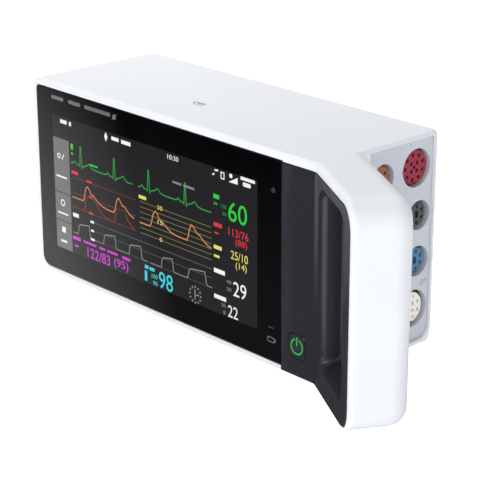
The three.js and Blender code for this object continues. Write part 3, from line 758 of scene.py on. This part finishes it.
def recess_profile():
    """The recess across the grip at full depth, as [u, v, how far it shares in the depth]."""
    points = []
    for turn in range(0, 85, 7):  # the rolled inner edge
        angle = math.radians(turn)
        points.append((RECESS_IN - 1.5 + 3.2 * math.sin(angle), 4.7 - 4.7 * math.cos(angle)))
    points += [(RECESS_IN + 1.9, 5.6), (RECESS_IN + 2.1, 7.0)]
    for turn in range(0, 91, 15):  # into the floor
        angle = math.radians(turn)
        points.append((RECESS_IN + 5.8 - 3.6 * math.cos(angle), 8.4 + 3.6 * math.sin(angle)))
    points += [(RECESS_IN + 5.8 + 4 * k, RECESS_DEPTH) for k in range(1, 6)]
    for turn in range(0, 91, 15):  # up the outer wall
        angle = math.radians(turn)
        points.append((RECESS_OUT - 4.6 + 3 * math.sin(angle), 9 + 3 * math.cos(angle)))
    points += [(RECESS_OUT - 1.2, 6.4), (RECESS_OUT - 0.8, 4.0)]
    for turn in range(0, 91, 15):
        angle = math.radians(90 - turn)
        points.append((RECESS_OUT + 1.4 - 1.9 * math.sin(angle), 1.9 - 1.9 * math.cos(angle)))
    return [(u, v / RECESS_DEPTH) for u, v in points]


def trim_rows():
    low = [TRIM_LOW + d for d in (0, 0.1, 0.35, 0.8, 1.5, 2.4, 3.5, 4.8, 6.2, 7.3)]
    rise = [RECESS_LOW - 0.6 + 0.3 * k for k in range(0, 34)]
    rise += [RECESS_LOW + 10.5, RECESS_LOW + 12.5]
    middle = [22 + 3.5 * k for k in range(16)]
    fall = [78.4 + 0.4 * k for k in range(0, 19)]
    high = [TRIM_HIGH - d for d in (3.1, 2.4, 1.5, 0.8, 0.35, 0.1, 0)]
    rows = sorted(set(round(z, 3) for z in low + rise + middle + fall + high))
    return [z for i, z in enumerate(rows) if i == 0 or z - rows[i - 1] > 0.04]


def trim_point(u, share, z):
    """A point of the trim's face on the grip, as s, v, z."""
    low_way = (z - RECESS_LOW + 0.6) / 7.2
    high_way = (RECESS_HIGH - z) / 6
    depth = RECESS_DEPTH * min(ramp(low_way, 0.4, 0.35), ramp(high_way, 0.25, 0.45))
    near = min(z - RECESS_LOW, RECESS_HIGH - z)
    narrow = rounding(5.0, max(0.0, near)) if near < 5 else 0.0
    middle = (RECESS_IN + RECESS_OUT) / 2
    half = (RECESS_OUT - RECESS_IN) / 2
    drawn = u - (u - middle) / half * narrow if RECESS_IN - 3 < u < RECESS_OUT + 3 else u
    edge = min(z - TRIM_LOW, TRIM_HIGH - z)
    end_in = rounding(TRIM_CORNER, edge)
    weight = min(1.0, max(0.0, (drawn - 12) / (TRIM_END - 12)))
    return (flat_s(drawn - end_in * weight), depth * share, z)


def grip_trim():
    columns = [TRIM_START, 170, 174, 178, 181, 183]
    columns += [BEND_START + BEND_ARC * k / 6 for k in range(7)]
    profile = recess_profile()
    outer = [(43.5, 0.0), (45.5, 0.0), (47.5, 0.0), (48.6, 0.0), (TRIM_END, 0.0)]
    rows = trim_rows()
    grid = []
    for z in rows:
        line = [(s, 0.0, z) for s in columns]
        line += [trim_point(u, share, z) for u, share in profile + outer]
        grid.append(line)
    width = len(grid[0])
    points = [Vector(wrap(*p)) for line in grid for p in line]
    faces = [
        (r * width + c, r * width + c + 1, (r + 1) * width + c + 1, (r + 1) * width + c)
        for r in range(len(grid) - 1)
        for c in range(width - 1)
    ]
    trim = make("trim", points, faces)
    facing = sum((p.normal for p in trim.data.polygons), Vector()).y
    shell = trim.modifiers.new("thickness", "SOLIDIFY")
    shell.thickness = 1.9
    shell.offset = -1 if facing < 0 else 1
    shell.use_even_offset = True
    settle(trim)
    key = lambda grow: box_outline(170.8, 5.5, 181.2, 16.9, 2.9 + grow, grow=grow)
    combine(trim, [mouth("y", key, 0.0, 4.0, 0.25)])
    ease(trim, 0.4, 3, 50)
    mount(trim, "charcoal_grip_trim", "trim_dark", DARK, "grip_trim")


main_shell()
rear_shell()
grip_trim()

# ---- Sockets -------------------------------------------------------------------------

SOCKETS = [
    ("pressure", 59.4, 78.6, 17.0, 15.3, [(9, 5.5), (4, 2.4), (1, 0)], 1.5, RED, "socket_red"),
    ("temperature", 38.9, 78.0, 13.0, 10.6, [(5, 3.3)], 1.4, BROWN, "socket_brown"),
    ("gas", 61.9, 57.1, 13.3, 10.4, [(6, 3.5)], 1.4, GREY, "socket_grey"),
    ("oxygen", 61.6, 36.3, 13.8, 11.4, [(7, 3.9)], 1.4, BLUE, "socket_blue"),
    ("ecg", 59.9, 14.8, 17.2, 14.2, [(8, 5.1), (4, 2.3)], 1.4, CREAM, "socket_cream"),
]


def pin_places(y, z, pins):
    for count, radius in pins:
        for i in range(count):
            angle = 2 * math.pi * (i + 0.5) / count
            yield y + radius * math.cos(angle), z + radius * math.sin(angle)


def socket(name, y, z, well, insert, pins, pin_size, material, slot):
    face = PANEL_FACE - 1.2
    radius = insert / 2
    body = lathe("insert", "x", y, z, [
        (face - 11.0, radius), (face - 0.7, radius), (face - 0.3, radius - 0.08),
        (face - 0.08, radius - 0.3), (face, radius - 0.7),
    ], 72)
    hole = pin_size / 2
    key = block(face - 6, y - 1.1, z - radius - 1, face + 1, y + 1.1, z - radius + 1.0)
    tools, contacts = [key], []
    if name in ("gas", "oxygen"):  # the guide slot in the middle
        slot_outline = box_outline(y - 1.1, z - 1.7, y + 0.9, z + 1.7, 0.7)
        tools.append(prism("x", slot_outline, face - 5, face + 1))
    for a, b in pin_places(y, z, pins):
        tools.append(lathe("hole", "x", a, b, [
            (face - 5, hole), (face - 0.3, hole), (face, hole + 0.25), (face + 1, hole + 0.25),
        ], 20))
        contacts.append(lathe("contact", "x", a, b, [
            (face - 4.8, hole - 0.12), (face - 2.0, hole - 0.12), (face - 1.7, hole - 0.3),
        ], 16))
    mount(combine(body, tools), name + "_insert", slot, material, name + "_socket")
    mount(join_pieces("contacts", contacts), name + "_contacts", "contact_black", PINHOLE)
    if well > 16:  # the wide wells have a ring round the insert
        outer = well / 2 - 0.15
        profile = [(face - 4, outer), (face - 2.0, outer), (face - 1.7, outer - 0.3)]
        inside = rod("x", y, z, radius + 0.15, face - 5, face, 72)
        ring = combine(lathe("ring", "x", y, z, profile, 72), [inside])
        mount(ring, name + "_ring", "contact_black", BLACK, name + "_socket_ring")


for entry in SOCKETS:
    socket(*entry)

# ---- Display -------------------------------------------------------------------------

FIELD = (-0.05, -0.02)
FLAT = (-0.1, -0.07)
RAISED = (-0.16, -0.13)


def bar(x0, z0, x1, z1, front=FLAT[0], back=FLAT[1], radius=0.02):
    return prism("y", box_outline(x0, z0, x1, z1, radius, 3), front, back)


def bars(places, levels=FLAT):
    return [bar(*place, *levels) for place in places]


def ribbon(points, width, front=FLAT[0], back=FLAT[1]):
    """A thin flat line through points, with mitred corners."""
    left, right = [], []
    count = len(points)
    for i in range(count):
        here = Vector(points[i])
        before = Vector(points[i - 1]) if i else here - (Vector(points[1]) - here)
        after = Vector(points[i + 1]) if i < count - 1 else here + (here - Vector(points[i - 1]))
        first, second = (here - before).normalized(), (after - here).normalized()
        across = Vector((-(first.y + second.y), first.x + second.x)).normalized()
        share = max(0.45, across.dot(Vector((-first.y, first.x))))
        left.append(here + across * (width / 2 / share))
        right.append(here - across * (width / 2 / share))
    corners = [(p.x, level, p.y) for level in (front, back) for p in left + right]
    half = 2 * count
    faces = [(0, count, half + count, half)]
    for i in range(count - 1):
        a, b, c, d = i, i + 1, count + i + 1, count + i
        faces += [(a, b, c, d), (half + a, half + d, half + c, half + b)]
        faces += [(a, half + a, half + b, b), (d, c, half + c, half + d)]
    faces.append((count - 1, half + count - 1, half + 2 * count - 1, 2 * count - 1))
    return make("ribbon", corners, faces)


def figures(text, x0, z0, x1, z1, front=FLAT[0], back=FLAT[1]):
    """Plain numerals that fill the given box."""
    curve = bpy.data.curves.new("figures", "FONT")
    curve.body = text
    curve.size = 10
    curve.extrude = 0.5
    curve.resolution_u = 4
    words = bpy.data.objects.new("figures", curve)
    bpy.context.scene.collection.objects.link(words)
    bpy.context.view_layer.update()
    depsgraph = bpy.context.evaluated_depsgraph_get()
    mesh = bpy.data.meshes.new_from_object(words.evaluated_get(depsgraph))
    bpy.data.objects.remove(words)
    xs = [v.co.x for v in mesh.vertices]
    ys = [v.co.y for v in mesh.vertices]
    for v in mesh.vertices:
        x = x0 + (v.co.x - min(xs)) / (max(xs) - min(xs)) * (x1 - x0)
        z = z0 + (v.co.y - min(ys)) / (max(ys) - min(ys)) * (z1 - z0)
        v.co = (x, front if v.co.z > 0 else back, z)
    return tidied("figures", mesh, 0.001)


def dial(x, z, radius):
    """Twelve ticks and two hands."""
    ticks = []
    for i in range(12):
        angle = 2 * math.pi * i / 12
        ends = [
            (x + radius * share * math.cos(angle), z + radius * share * math.sin(angle))
            for share in (0.76, 1)
        ]
        ticks.append(ribbon(ends, 0.75))
    ticks.append(ribbon([(x - 0.2, z - radius * 0.55), (x - 0.2, z + radius * 0.6)], 0.6))
    ticks.append(ribbon([(x + 0.35, z), (x + radius * 0.62, z + 0.3)], 0.6))
    return ticks


def ring_mark(x, z, radius, width):
    turns = [2 * math.pi * i / 24 for i in range(24)]
    points, faces = [], []
    for depth in RAISED:
        for r in (radius, radius - width):
            points += [(x + r * math.cos(t), depth, z + r * math.sin(t)) for t in turns]
    for i in range(24):
        j = (i + 1) % 24
        faces += [(i, j, 24 + j, 24 + i), (48 + i, 72 + i, 72 + j, 48 + j)]
        faces += [(i, 48 + i, 48 + j, j), (24 + i, 24 + j, 72 + j, 72 + i)]
    return make("ring", points, faces)


def pairs(*values):
    return list(zip(values[::2], values[1::2]))


def beat(x, base):
    """One heartbeat of the upper trace."""
    steps = pairs(-7.5, 0, -6, 0.2, -4.6, 1.3, -3.4, 0.2, -1.6, 0, -0.9, -0.4, -0.3, 9.2, 0.1, 9.2,
                  0.7, -1.0, 1.6, 0.0, 4.2, 0.9, 6.2, 2.2, 8.2, 0.5, 10.5, 0.1)
    return [(x + dx, base + dz) for dx, dz in steps]


def breaths(starts):
    """Breaths of the gas trace, each given as where it starts and how far it is stretched."""
    steps = pairs(0, 0, 0.9, 4.2, 2.0, 5.0, 9.2, 6.0, 10.0, 0.8, 10.6, 0)
    return [(start + dx * stretch, GAS_BASE + dz) for start, stretch in starts for dx, dz in steps]


def lit_marks(name, colour, marks):
    mount(join_pieces(name, marks), "display_" + name, "lcd_layer", lit("lit " + name, colour))


HEART_BASE, GAS_BASE = 56.9, 22.45
LIT_GREEN, LIT_DIM_GREEN = (48, 208, 66), (46, 150, 70)
LIT_RED, LIT_DIM_RED = (226, 56, 66), (124, 48, 46)
LIT_YELLOW, LIT_DIM_YELLOW = (232, 222, 110), (122, 112, 76)
LIT_WHITE, LIT_GREY, LIT_DIM_GREY = (246, 246, 246), (138, 138, 140), (84, 84, 88)


def menu_and_status():
    field = bar(11.8, 11.8, 152.1, 77.8, *FIELD)
    mount(field, "display_field", "lcd_layer", lit("lit field", (34, 34, 36)))
    tiles = [(11.8, 40.35, 23.8, 66.9), (11.8, 26.15, 23.8, 40.0), (11.8, 12.0, 23.8, 25.8)]
    lit_marks("menu", (118, 118, 118), bars(tiles))
    lit_marks("menu_icons", LIT_WHITE, [
        ring_mark(15.9, 58.2, 1.3, 0.55), ring_mark(17.6, 35.2, 1.7, 0.6),
        ribbon([(18.2, 56.8), (19.8, 59.6)], 0.55, *RAISED),
    ] + bars([
        (13.4, 47.6, 21.4, 48.5), (13.4, 29.4, 21.4, 30.2), (16.2, 20.2, 19.0, 23.0),
        (15.0, 15.2, 19.8, 16.3),
    ], RAISED))
    lit_marks("status", LIT_WHITE, bars([
        (17.8, 74.6, 22.8, 76.4), (24.6, 74.5, 26.1, 76.5), (56.0, 74.6, 61.2, 76.3),
        (63.0, 74.4, 69.6, 76.2), (129.6, 73.6, 130.1, 76.8), (131.5, 73.6, 132.0, 76.8),
        (130.1, 76.3, 131.5, 76.8), (130.1, 73.6, 131.5, 74.1), (142.0, 76.2, 150.7, 77.6),
    ]) + [
        bar(143.4, 73.6, 148.2, 75.4, radius=0.6),
        prism("y", pairs(50.8, 75.2, 52.0, 72.9, 53.2, 75.2, 52.0, 77.4), *FLAT),
        prism("y", pairs(134.6, 73.4, 140.2, 73.4, 140.2, 76.4), *FLAT),
        lathe("dot", "y", 136.0, 76.3, [(FLAT[0], 1.0), (FLAT[1], 1.0)], 20),
        figures("10:30", 95.0, 74.6, 102.2, 76.7),
        ribbon([(124.4, 74.2), (125.6, 75.0)], 0.7), ribbon([(125.8, 76.6), (128.0, 76.8)], 0.8),
    ])


def heart_rows():
    start, middle = [(25.2, HEART_BASE)], [(66.9, HEART_BASE), (70.4, HEART_BASE + 0.1)]
    before_gap = start + beat(32.7, HEART_BASE) + beat(57.4, HEART_BASE)[:-1] + middle
    end = [(119.0, HEART_BASE), (123.4, HEART_BASE + 0.1)]
    after_gap = beat(81.7, HEART_BASE) + beat(106.5, HEART_BASE) + end
    lit_marks("heart_trace", LIT_DIM_GREEN, [ribbon(before_gap, 0.6), ribbon(after_gap, 0.6)])
    lit_marks("green_marks", LIT_GREEN, bars([
        (25.2, 63.4, 27.0, 66.2), (25.4, 60.9, 26.8, 61.9), (39.4, 58.6, 45.2, 59.4),
        (124.9, 64.0, 128.6, 65.9),
    ]))
    lit_marks("heart_figures", LIT_GREEN, [figures("60", 134.3, 56.2, 145.9, 64.9)])
    lit_marks("heart_limits", LIT_DIM_GREEN, [
        figures("120", 129.6, 60.8, 133.0, 62.4), figures("50", 130.6, 57.6, 133.0, 59.2),
        bar(125.0, 61.2, 127.4, 62.2),
    ])


def pressure_rows():
    lit_marks("arterial_scale", LIT_DIM_RED, [
        ribbon([(27, level), (72.5, level)], 0.32) for level in (50.0, 42.4, 35.2)
    ])
    wave = pairs(25.2, 35.25, 34.2, 35.25, 35.0, 38.0, 35.7, 43.4)
    tail = pairs(42.4, 42.2, 44.6, 39.6, 47.2, 37.2, 50.2, 35.6, 56.4, 35.2, 57.4, 38.0, 58.2, 42.6)
    end = pairs(64.6, 41.2, 66.6, 38.6, 69.2, 36.4, 71.0, 35.5)
    strokes = [ribbon(wave, 0.5), ribbon(tail, 0.45), ribbon(end, 0.45)]
    lit_marks("red_trace", (158, 58, 48), strokes)
    left = pairs(
        25.2, 40.1, 33.6, 40.15, 34.4, 41.4, 35.2, 45.0, 36.2, 47.2, 37.4, 47.6, 38.6, 46.4,
        39.8, 44.5, 41.6, 44.4, 43.0, 43.2, 45.2, 41.8, 48.0, 40.8, 51.5, 40.2, 56.2, 40.1,
        57.2, 41.4, 58.4, 45.4, 59.2, 47.2, 60.2, 47.8, 61.4, 46.4, 62.6, 44.8, 64.2, 44.8,
        65.8, 43.4, 68.0, 41.8, 70.9, 40.8,
    )
    right = pairs(
        75.0, 40.1, 82.2, 40.2, 83.2, 42.0, 84.4, 46.2, 85.8, 48.0, 87.2, 47.6, 88.8, 44.8,
        91.0, 44.2, 93.4, 42.6, 96.4, 41.0, 100.0, 40.3, 107.2, 40.1, 108.2, 42.0, 109.2, 46.0,
        110.4, 48.0, 112.0, 47.2, 113.8, 45.2, 116.0, 44.4, 118.8, 42.4, 121.4, 41.2, 123.4, 40.6,
    )
    amber = [ribbon(side, 0.55, *RAISED) for side in (left, right)]
    lit_marks("pressure_trace", (214, 140, 92), amber)
    lit_marks("red_marks", LIT_RED, bars([
        (25.2, 51.6, 30.2, 53.2), (124.9, 51.4, 130.2, 53.2), (125.2, 48.2, 128.2, 48.9),
    ]) + bars([
        (36.8, 50.0, 40.6, 51.0), (38.0, 42.8, 41.0, 43.8), (37.6, 34.8, 40.8, 35.8),
    ], RAISED))
    lit_marks("red_figures", LIT_RED, [
        figures("113/76", 134.4, 49.7, 146.8, 53.2), figures("(88)", 138.6, 45.4, 145.9, 49.0),
    ])
    lit_marks("venous_scale", LIT_DIM_YELLOW, [
        ribbon([(75.2, level), (123.4, level)], 0.34)
        for level in (50.2, 47.7, 45.2, 42.7, 40.3, 37.8, 35.3)
    ])
    lit_marks("yellow_marks", LIT_YELLOW, bars([
        (74.6, 51.6, 79.8, 53.2), (124.9, 41.2, 130.0, 42.9), (125.0, 37.4, 128.6, 38.5),
    ]) + [
        figures("30", 87.4, 49.4, 91.0, 51.4, *RAISED),
        figures("15", 87.6, 42.6, 91.0, 44.6, *RAISED),
        figures("0", 88.8, 34.6, 90.4, 36.6, *RAISED),
        figures("25/10", 135.8, 39.4, 146.4, 43.2), figures("(14)", 138.8, 34.9, 145.7, 38.7),
    ])


def gas_row():
    levels = ((31.1, 0.5), (26.9, 0.3), (22.4, 0.25))
    scale = [ribbon([(42.0, level), (123.4, level)], width) for level, width in levels]
    lit_marks("gas_scale", LIT_DIM_GREY, scale)
    left = breaths([(28.8, 0.93), (47.9, 0.93), (66.6, 0.93)])
    right = breaths([(89.4, 0.84), (107.4, 1.25)])
    lit_marks("gas_trace", LIT_GREY, [
        ribbon([(25.2, GAS_BASE)] + left + [(79.8, GAS_BASE)], 0.5),
        ribbon([(82.0, GAS_BASE)] + right + [(123.6, GAS_BASE)], 0.5),
    ])
    lit_marks("white_marks", LIT_WHITE, bars([
        (25.2, 30.4, 29.6, 32.3), (124.9, 30.3, 131.9, 32.3), (124.9, 18.4, 132.6, 20.3),
    ]) + bars([
        (38.6, 30.6, 41.2, 31.7), (38.8, 26.3, 41.0, 27.3), (38.4, 21.9, 41.2, 23.0),
    ], RAISED) + [
        figures("29", 137.2, 22.7, 145.4, 29.4), figures("22", 133.8, 12.2, 140.1, 17.6),
    ])
    lit_marks("grey_marks", LIT_GREY, dial(112.4, 15.9, 4.2) + [
        figures("40", 132.9, 27.4, 136.0, 29.1), figures("20", 132.9, 24.0, 136.0, 25.7),
        figures("30", 129.6, 15.6, 132.2, 17.3), figures("8", 130.8, 12.4, 132.2, 14.1),
    ] + bars([(98.2, 64.3, 104.0, 65.3), (105.4, 64.3, 112.6, 65.3)]))


def bottom_row():
    lit_marks("magenta_marks", (216, 60, 212), bars([
        (24.6, 18.9, 30.4, 20.6), (32.6, 19.2, 42.2, 20.3), (44.6, 19.2, 49.0, 20.3),
        (50.6, 19.2, 58.2, 20.3), (61.6, 18.9, 67.4, 20.3), (25.6, 15.4, 28.6, 16.4),
    ]) + [figures("122/83", 35.4, 12.6, 52.4, 17.6), figures("(95)", 55.4, 12.6, 65.8, 17.9)])
    lit_marks("cyan_marks", (66, 214, 226), bars([
        (77.8, 18.9, 80.4, 20.6), (77.7, 12.9, 79.3, 17.8), (81.2, 18.8, 84.6, 20.4),
    ]) + [
        figures("100", 82.6, 15.6, 86.6, 17.6), figures("90", 83.4, 12.4, 86.6, 14.4),
        figures("98", 87.6, 12.2, 97.2, 20.2),
    ])


menu_and_status()
heart_rows()
pressure_rows()
gas_row()
bottom_row()

# ---- Printed marks on the glass and shell --------------------------------------------


def print_ink(name, colour, deep):
    return moulded(name, colour, 0.5, deep, grain=4200.0, bump=0.05)


PRINT_GREY = print_ink("printed grey", (120, 120, 124), (98, 98, 102))
PRINT_PALE = print_ink("printed pale grey", (150, 152, 158), (132, 134, 140))
PRINT_DIM = print_ink("printed dim grey", (66, 66, 70), (52, 52, 56))
INK = (-0.06, -0.02)
INK_RAISED = (-0.12, -0.08)
ROOF_INK = (0.0, 0.03)
SIDE_INK = (PANEL_FACE + 0.01, PANEL_FACE + 0.04)


def printed(name, pieces, ink):
    mount(join_pieces(name, pieces), "printed_" + name, "panel_grey", ink)


def printed_marks():
    printed("bell", [
        prism("y", pairs(57.0, 84.7, 59.6, 84.7, 59.1, 86.8, 57.6, 86.8), *INK),
        ribbon([(56.7, 84.2), (60.2, 87.2)], 0.35, *INK_RAISED),
    ], PRINT_GREY)
    case = prism("y", box_outline(158.4, 8.5, 162.9, 10.9, 0.7), *INK)
    inside = prism("y", box_outline(158.8, 8.9, 162.5, 10.5, 0.4), INK[0] - 1, INK[1] + 1)
    cell = [combine(case, [inside]), bar(163.0, 9.2, 163.6, 10.2, *INK)]
    printed("battery_sign", cell, PRINT_GREY)
    printed("mains_sign", [bar(158.8, 15.0, 162.4, 15.5, *INK)], PRINT_DIM)
    house = pairs(-3.2, -1.5, 3.2, -1.5, 3.2, 1.5, -0.6, 1.5, -3.2, 0.2, -3.2, -1.5)
    roof = [ribbon(house, 0.45, *ROOF_INK), bar(-1.4, -0.9, 2.2, -0.1, *ROOF_INK)]
    turn = Matrix.Rotation(math.radians(90), 4, "X")
    for piece in roof:
        piece.data.transform(Matrix.Translation((88.0, 24.3, TOP + 0.01)) @ turn)
    printed("roof_sign", roof, PRINT_GREY)
    loop = pairs(64.0, 25.4, 64.9, 26.6, 66.0, 26.8, 66.2, 25.2, 65.0, 24.6, 64.1, 25.3)
    side = [
        ribbon([(55.0, 88.8), (55.8, 89.8)], 0.35, *SIDE_INK),
        ribbon([(50.0, 78.2), (50.9, 78.6)], 0.7, *SIDE_INK),
        ribbon(loop, 0.35, *SIDE_INK),
        ribbon([(66.9, 25.6), (68.0, 27.4)], 0.6, *SIDE_INK),
    ]
    for piece in side:
        piece.data.transform(Matrix(((0, 1, 0, 0), (1, 0, 0, 0), (0, 0, 1, 0), (0, 0, 0, 1))))
        piece.data.flip_normals()
    printed("socket_signs", side, PRINT_PALE)
    printed("button_tick", [ribbon([(180.0, 16.4), (180.5, 15.6)], 0.35, *INK)], PRINT_GREY)


printed_marks()

# ---- CAD nodes that keep their shape -------------------------------------------------


def finish_node(name, material, width):
    """Eases a CAD node's edges and gives it its finish."""
    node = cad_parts[name]
    for held in node.material_slots:
        held.material = material
    if not node.material_slots:
        node.data.materials.append(material)
    node.data.polygons.foreach_set("use_smooth", [True] * len(node.data.polygons))
    weld = node.modifiers.new("weld", "WELD")
    weld.merge_threshold = 0.00001
    flatten = node.modifiers.new("flatten", "DECIMATE")
    flatten.decimate_type = "DISSOLVE"
    flatten.angle_limit = math.radians(0.5)
    if width:
        soften = node.modifiers.new("soften", "BEVEL")
        soften.width = width * MM
        soften.segments = 2
        soften.limit_method = "ANGLE"
        soften.angle_limit = math.radians(30)
    level = node.modifiers.new("even_shading", "WEIGHTED_NORMAL")
    level.keep_sharp = True


NODE_FINISH = [
    (GLASS, 0.18, "cover_glass"),
    (LENS, 0.1, "alarm_lamp_left alarm_lamp_middle alarm_lamp_right"),
    (SENSOR, 0.1, "light_sensor"),
    (RUBBER, 0.1, "glass_gasket"),
    (RUBBER, 0.2, "rear_seal"),
    (RUBBER, 0.3, "foot_1 foot_2 foot_3 foot_4"),
    (LCD, 0.15, "lcd_panel"),
    (BUTTON_DARK, 0.3, "power_button"),
    (SYMBOL, 0.04, "power_symbol_ring power_symbol_bar"),
    (PANEL, 0.45, "connector_panel"),
    (BLACK, 0.2, "button_switch dock_connector speaker"),
    (BLACK, 0.3, "battery_tray dock_latch valve_manifold"),
    (BATTERY, 0.6, "battery_pack"),
    (WHITE_FINE, 0.3, "battery_door"),
    (ALLOY, 0.15, "chassis_frame"),
    (ALLOY, 0.25, "dock_plate"),
    (ALLOY, 0.3, "backlight_unit power_module"),
    (ALLOY, 0.4, "pressure_pump"),
    (BOARD, 0.1, "main_board measurement_board"),
    (TUBE, 0.0, "air_tube"),
    (RIBBON, 0.0, "ribbon_cable"),
    (STEEL, 0.15, "battery_door_pin"),
    (STEEL, 0.12, "cover_screw_1 cover_screw_2 cover_screw_3 cover_screw_4"),
    (STEEL, 0.12, "dock_screw_1 dock_screw_2"),
]

for finish, width, names in NODE_FINISH:
    for node_name in names.split():
        finish_node(node_name, finish, width)

# ---- Floor, light and camera ---------------------------------------------------------

FLOOR_HALF, FLOOR_LEVEL = 30.0, -0.0002
SWEEP_START = CORNER + Vector((88.0, -10.5, 0)) * MM
PATCH_START = CORNER + Vector((219.0, -15.6, 0)) * MM
PATCH_WAY = (0.39, -0.92, 0.0)


def floor():
    sides = [(-1, -1), (1, -1), (1, 1), (-1, 1)]
    corners = [(x * FLOOR_HALF, y * FLOOR_HALF, FLOOR_LEVEL) for x, y in sides]
    piece = make("floor", corners, [(0, 1, 2, 3)])
    material, tree, shader = blank_material("pale studio floor")
    place = object_place(tree)
    paper = spread(tree, noise_node(tree, place, 900.0, 3.0, 0.5), 0.3, 0.7)
    tone = mix_colours(tree, paper, (0.8, 0.8, 0.8, 1), (0.84, 0.84, 0.84, 1))
    feed(tree, shader.inputs["Base Color"], tone)
    shader.inputs["Roughness"].default_value = 0.9
    shader.inputs["Specular IOR Level"].default_value = 0.1
    shader.inputs["Emission Color"].default_value = (1, 1, 1, 1)
    path = tree.nodes.new("ShaderNodeLightPath").outputs
    axes = split_axes(tree, place)
    # The floor gives the left side of the monitor less light than the right.
    side = times(tree, spread(tree, axes["X"], -0.5, 0.1), 0.45)
    seen = times(tree, path["Is Camera Ray"], 0.85)
    feed(tree, shader.inputs["Emission Strength"], plus(tree, side, seen))
    # In a polished face the floor shows as a soft sweep, bright to the left and dark to the right.
    x = math_node(tree, "SUBTRACT", axes["X"], SWEEP_START.x)
    y = math_node(tree, "SUBTRACT", axes["Y"], SWEEP_START.y)
    away = plus(tree, times(tree, x, -0.5605), times(tree, y, 0.828))
    near = spread(tree, y, -0.2, 0.0)
    slope = math_node(tree, "MULTIPLY_ADD", near, 10.5, 9.5)
    rise = math_node(tree, "MAXIMUM", times(tree, away, slope), 0.0)
    limit = math_node(tree, "SUBTRACT", 1.1, times(tree, spread(tree, away, 0.1, 0.25), 0.85))
    sweep = math_node(tree, "MINIMUM", plus(tree, rise, times(tree, near, 0.09)), limit)
    # A light patch in front of the grip gives the recess's rolled edge its pale band.
    from_grip = vector_node(tree, "SUBTRACT", place, PATCH_START)
    heading = vector_node(tree, "NORMALIZE", from_grip)
    agreement = vector_node(tree, "DOT_PRODUCT", heading, PATCH_WAY, "Value")
    patch = times(tree, spread(tree, agreement, 0.87, 0.97), 2.0)
    glow = tree.nodes.new("ShaderNodeEmission")
    feed(tree, glow.inputs["Strength"], plus(tree, sweep, patch))
    mixed = tree.nodes.new("ShaderNodeMixShader")
    for index, output in enumerate((path["Is Glossy Ray"], shader.outputs[0], glow.outputs[0])):
        feed(tree, mixed.inputs[index], output)
    feed(tree, tree.nodes["Material Output"].inputs["Surface"], mixed.outputs[0])
    piece.data.materials.append(material)


def aim(thing, place, target):
    thing.location = place
    thing.rotation_euler = (Vector(target) - Vector(place)).to_track_quat("-Z", "Y").to_euler()


def soft_light(name, place, size, power, colour=(1, 1, 1), glints=False):
    data = bpy.data.lights.new(name, "AREA")
    data.shape = "RECTANGLE"
    data.size, data.size_y = size
    data.energy = power
    data.color = colour
    lamp = bpy.data.objects.new(name, data)
    bpy.context.scene.collection.objects.link(lamp)
    aim(lamp, place, (0.0, 0.0, 0.05))
    lamp.visible_glossy = glints


def studio():
    world = bpy.data.worlds.new("studio")
    world.use_nodes = True
    tree = world.node_tree
    background = tree.nodes["Background"]
    background.inputs["Color"].default_value = (0.95, 0.975, 1.0, 1)
    axes = split_axes(tree, tree.nodes.new("ShaderNodeTexCoord").outputs["Generated"])
    shade = times(tree, spread(tree, axes["X"], -1.0, 0.0), 0.29)
    feed(tree, background.inputs["Strength"], plus(tree, shade, 0.19))
    bpy.context.scene.world = world
    soft_light("key", (1.05, -0.8, 0.5), (0.45, 0.45), 4.0, (0.9, 0.955, 1.0), True)
    soft_light("roof light", (-0.42, 0.17, 0.65), (0.4, 0.4), 3.7)
    soft_light("front light", (0.05, -1.1, 0.45), (0.8, 0.5), 4.8)
    bpy.context.scene.view_settings.view_transform = "Standard"


def camera():
    data = bpy.data.cameras.new("camera")
    data.lens = 128.48
    data.sensor_width = 36
    viewer = bpy.data.objects.new("camera", data)
    bpy.context.scene.collection.objects.link(viewer)
    right = Vector((0.67708, 0.73591, -0.00246))
    up = Vector((-0.24985, 0.23303, 0.93983))
    back = -Vector((-0.69220, 0.63572, -0.34165))
    turn = Matrix((right, up, back)).transposed().to_4x4()
    place = Vector((522.176, -483.299, 299.57)) * MM
    viewer.matrix_world = Matrix.Translation(place) @ turn
    bpy.context.scene.camera = viewer


floor()
studio()
camera()
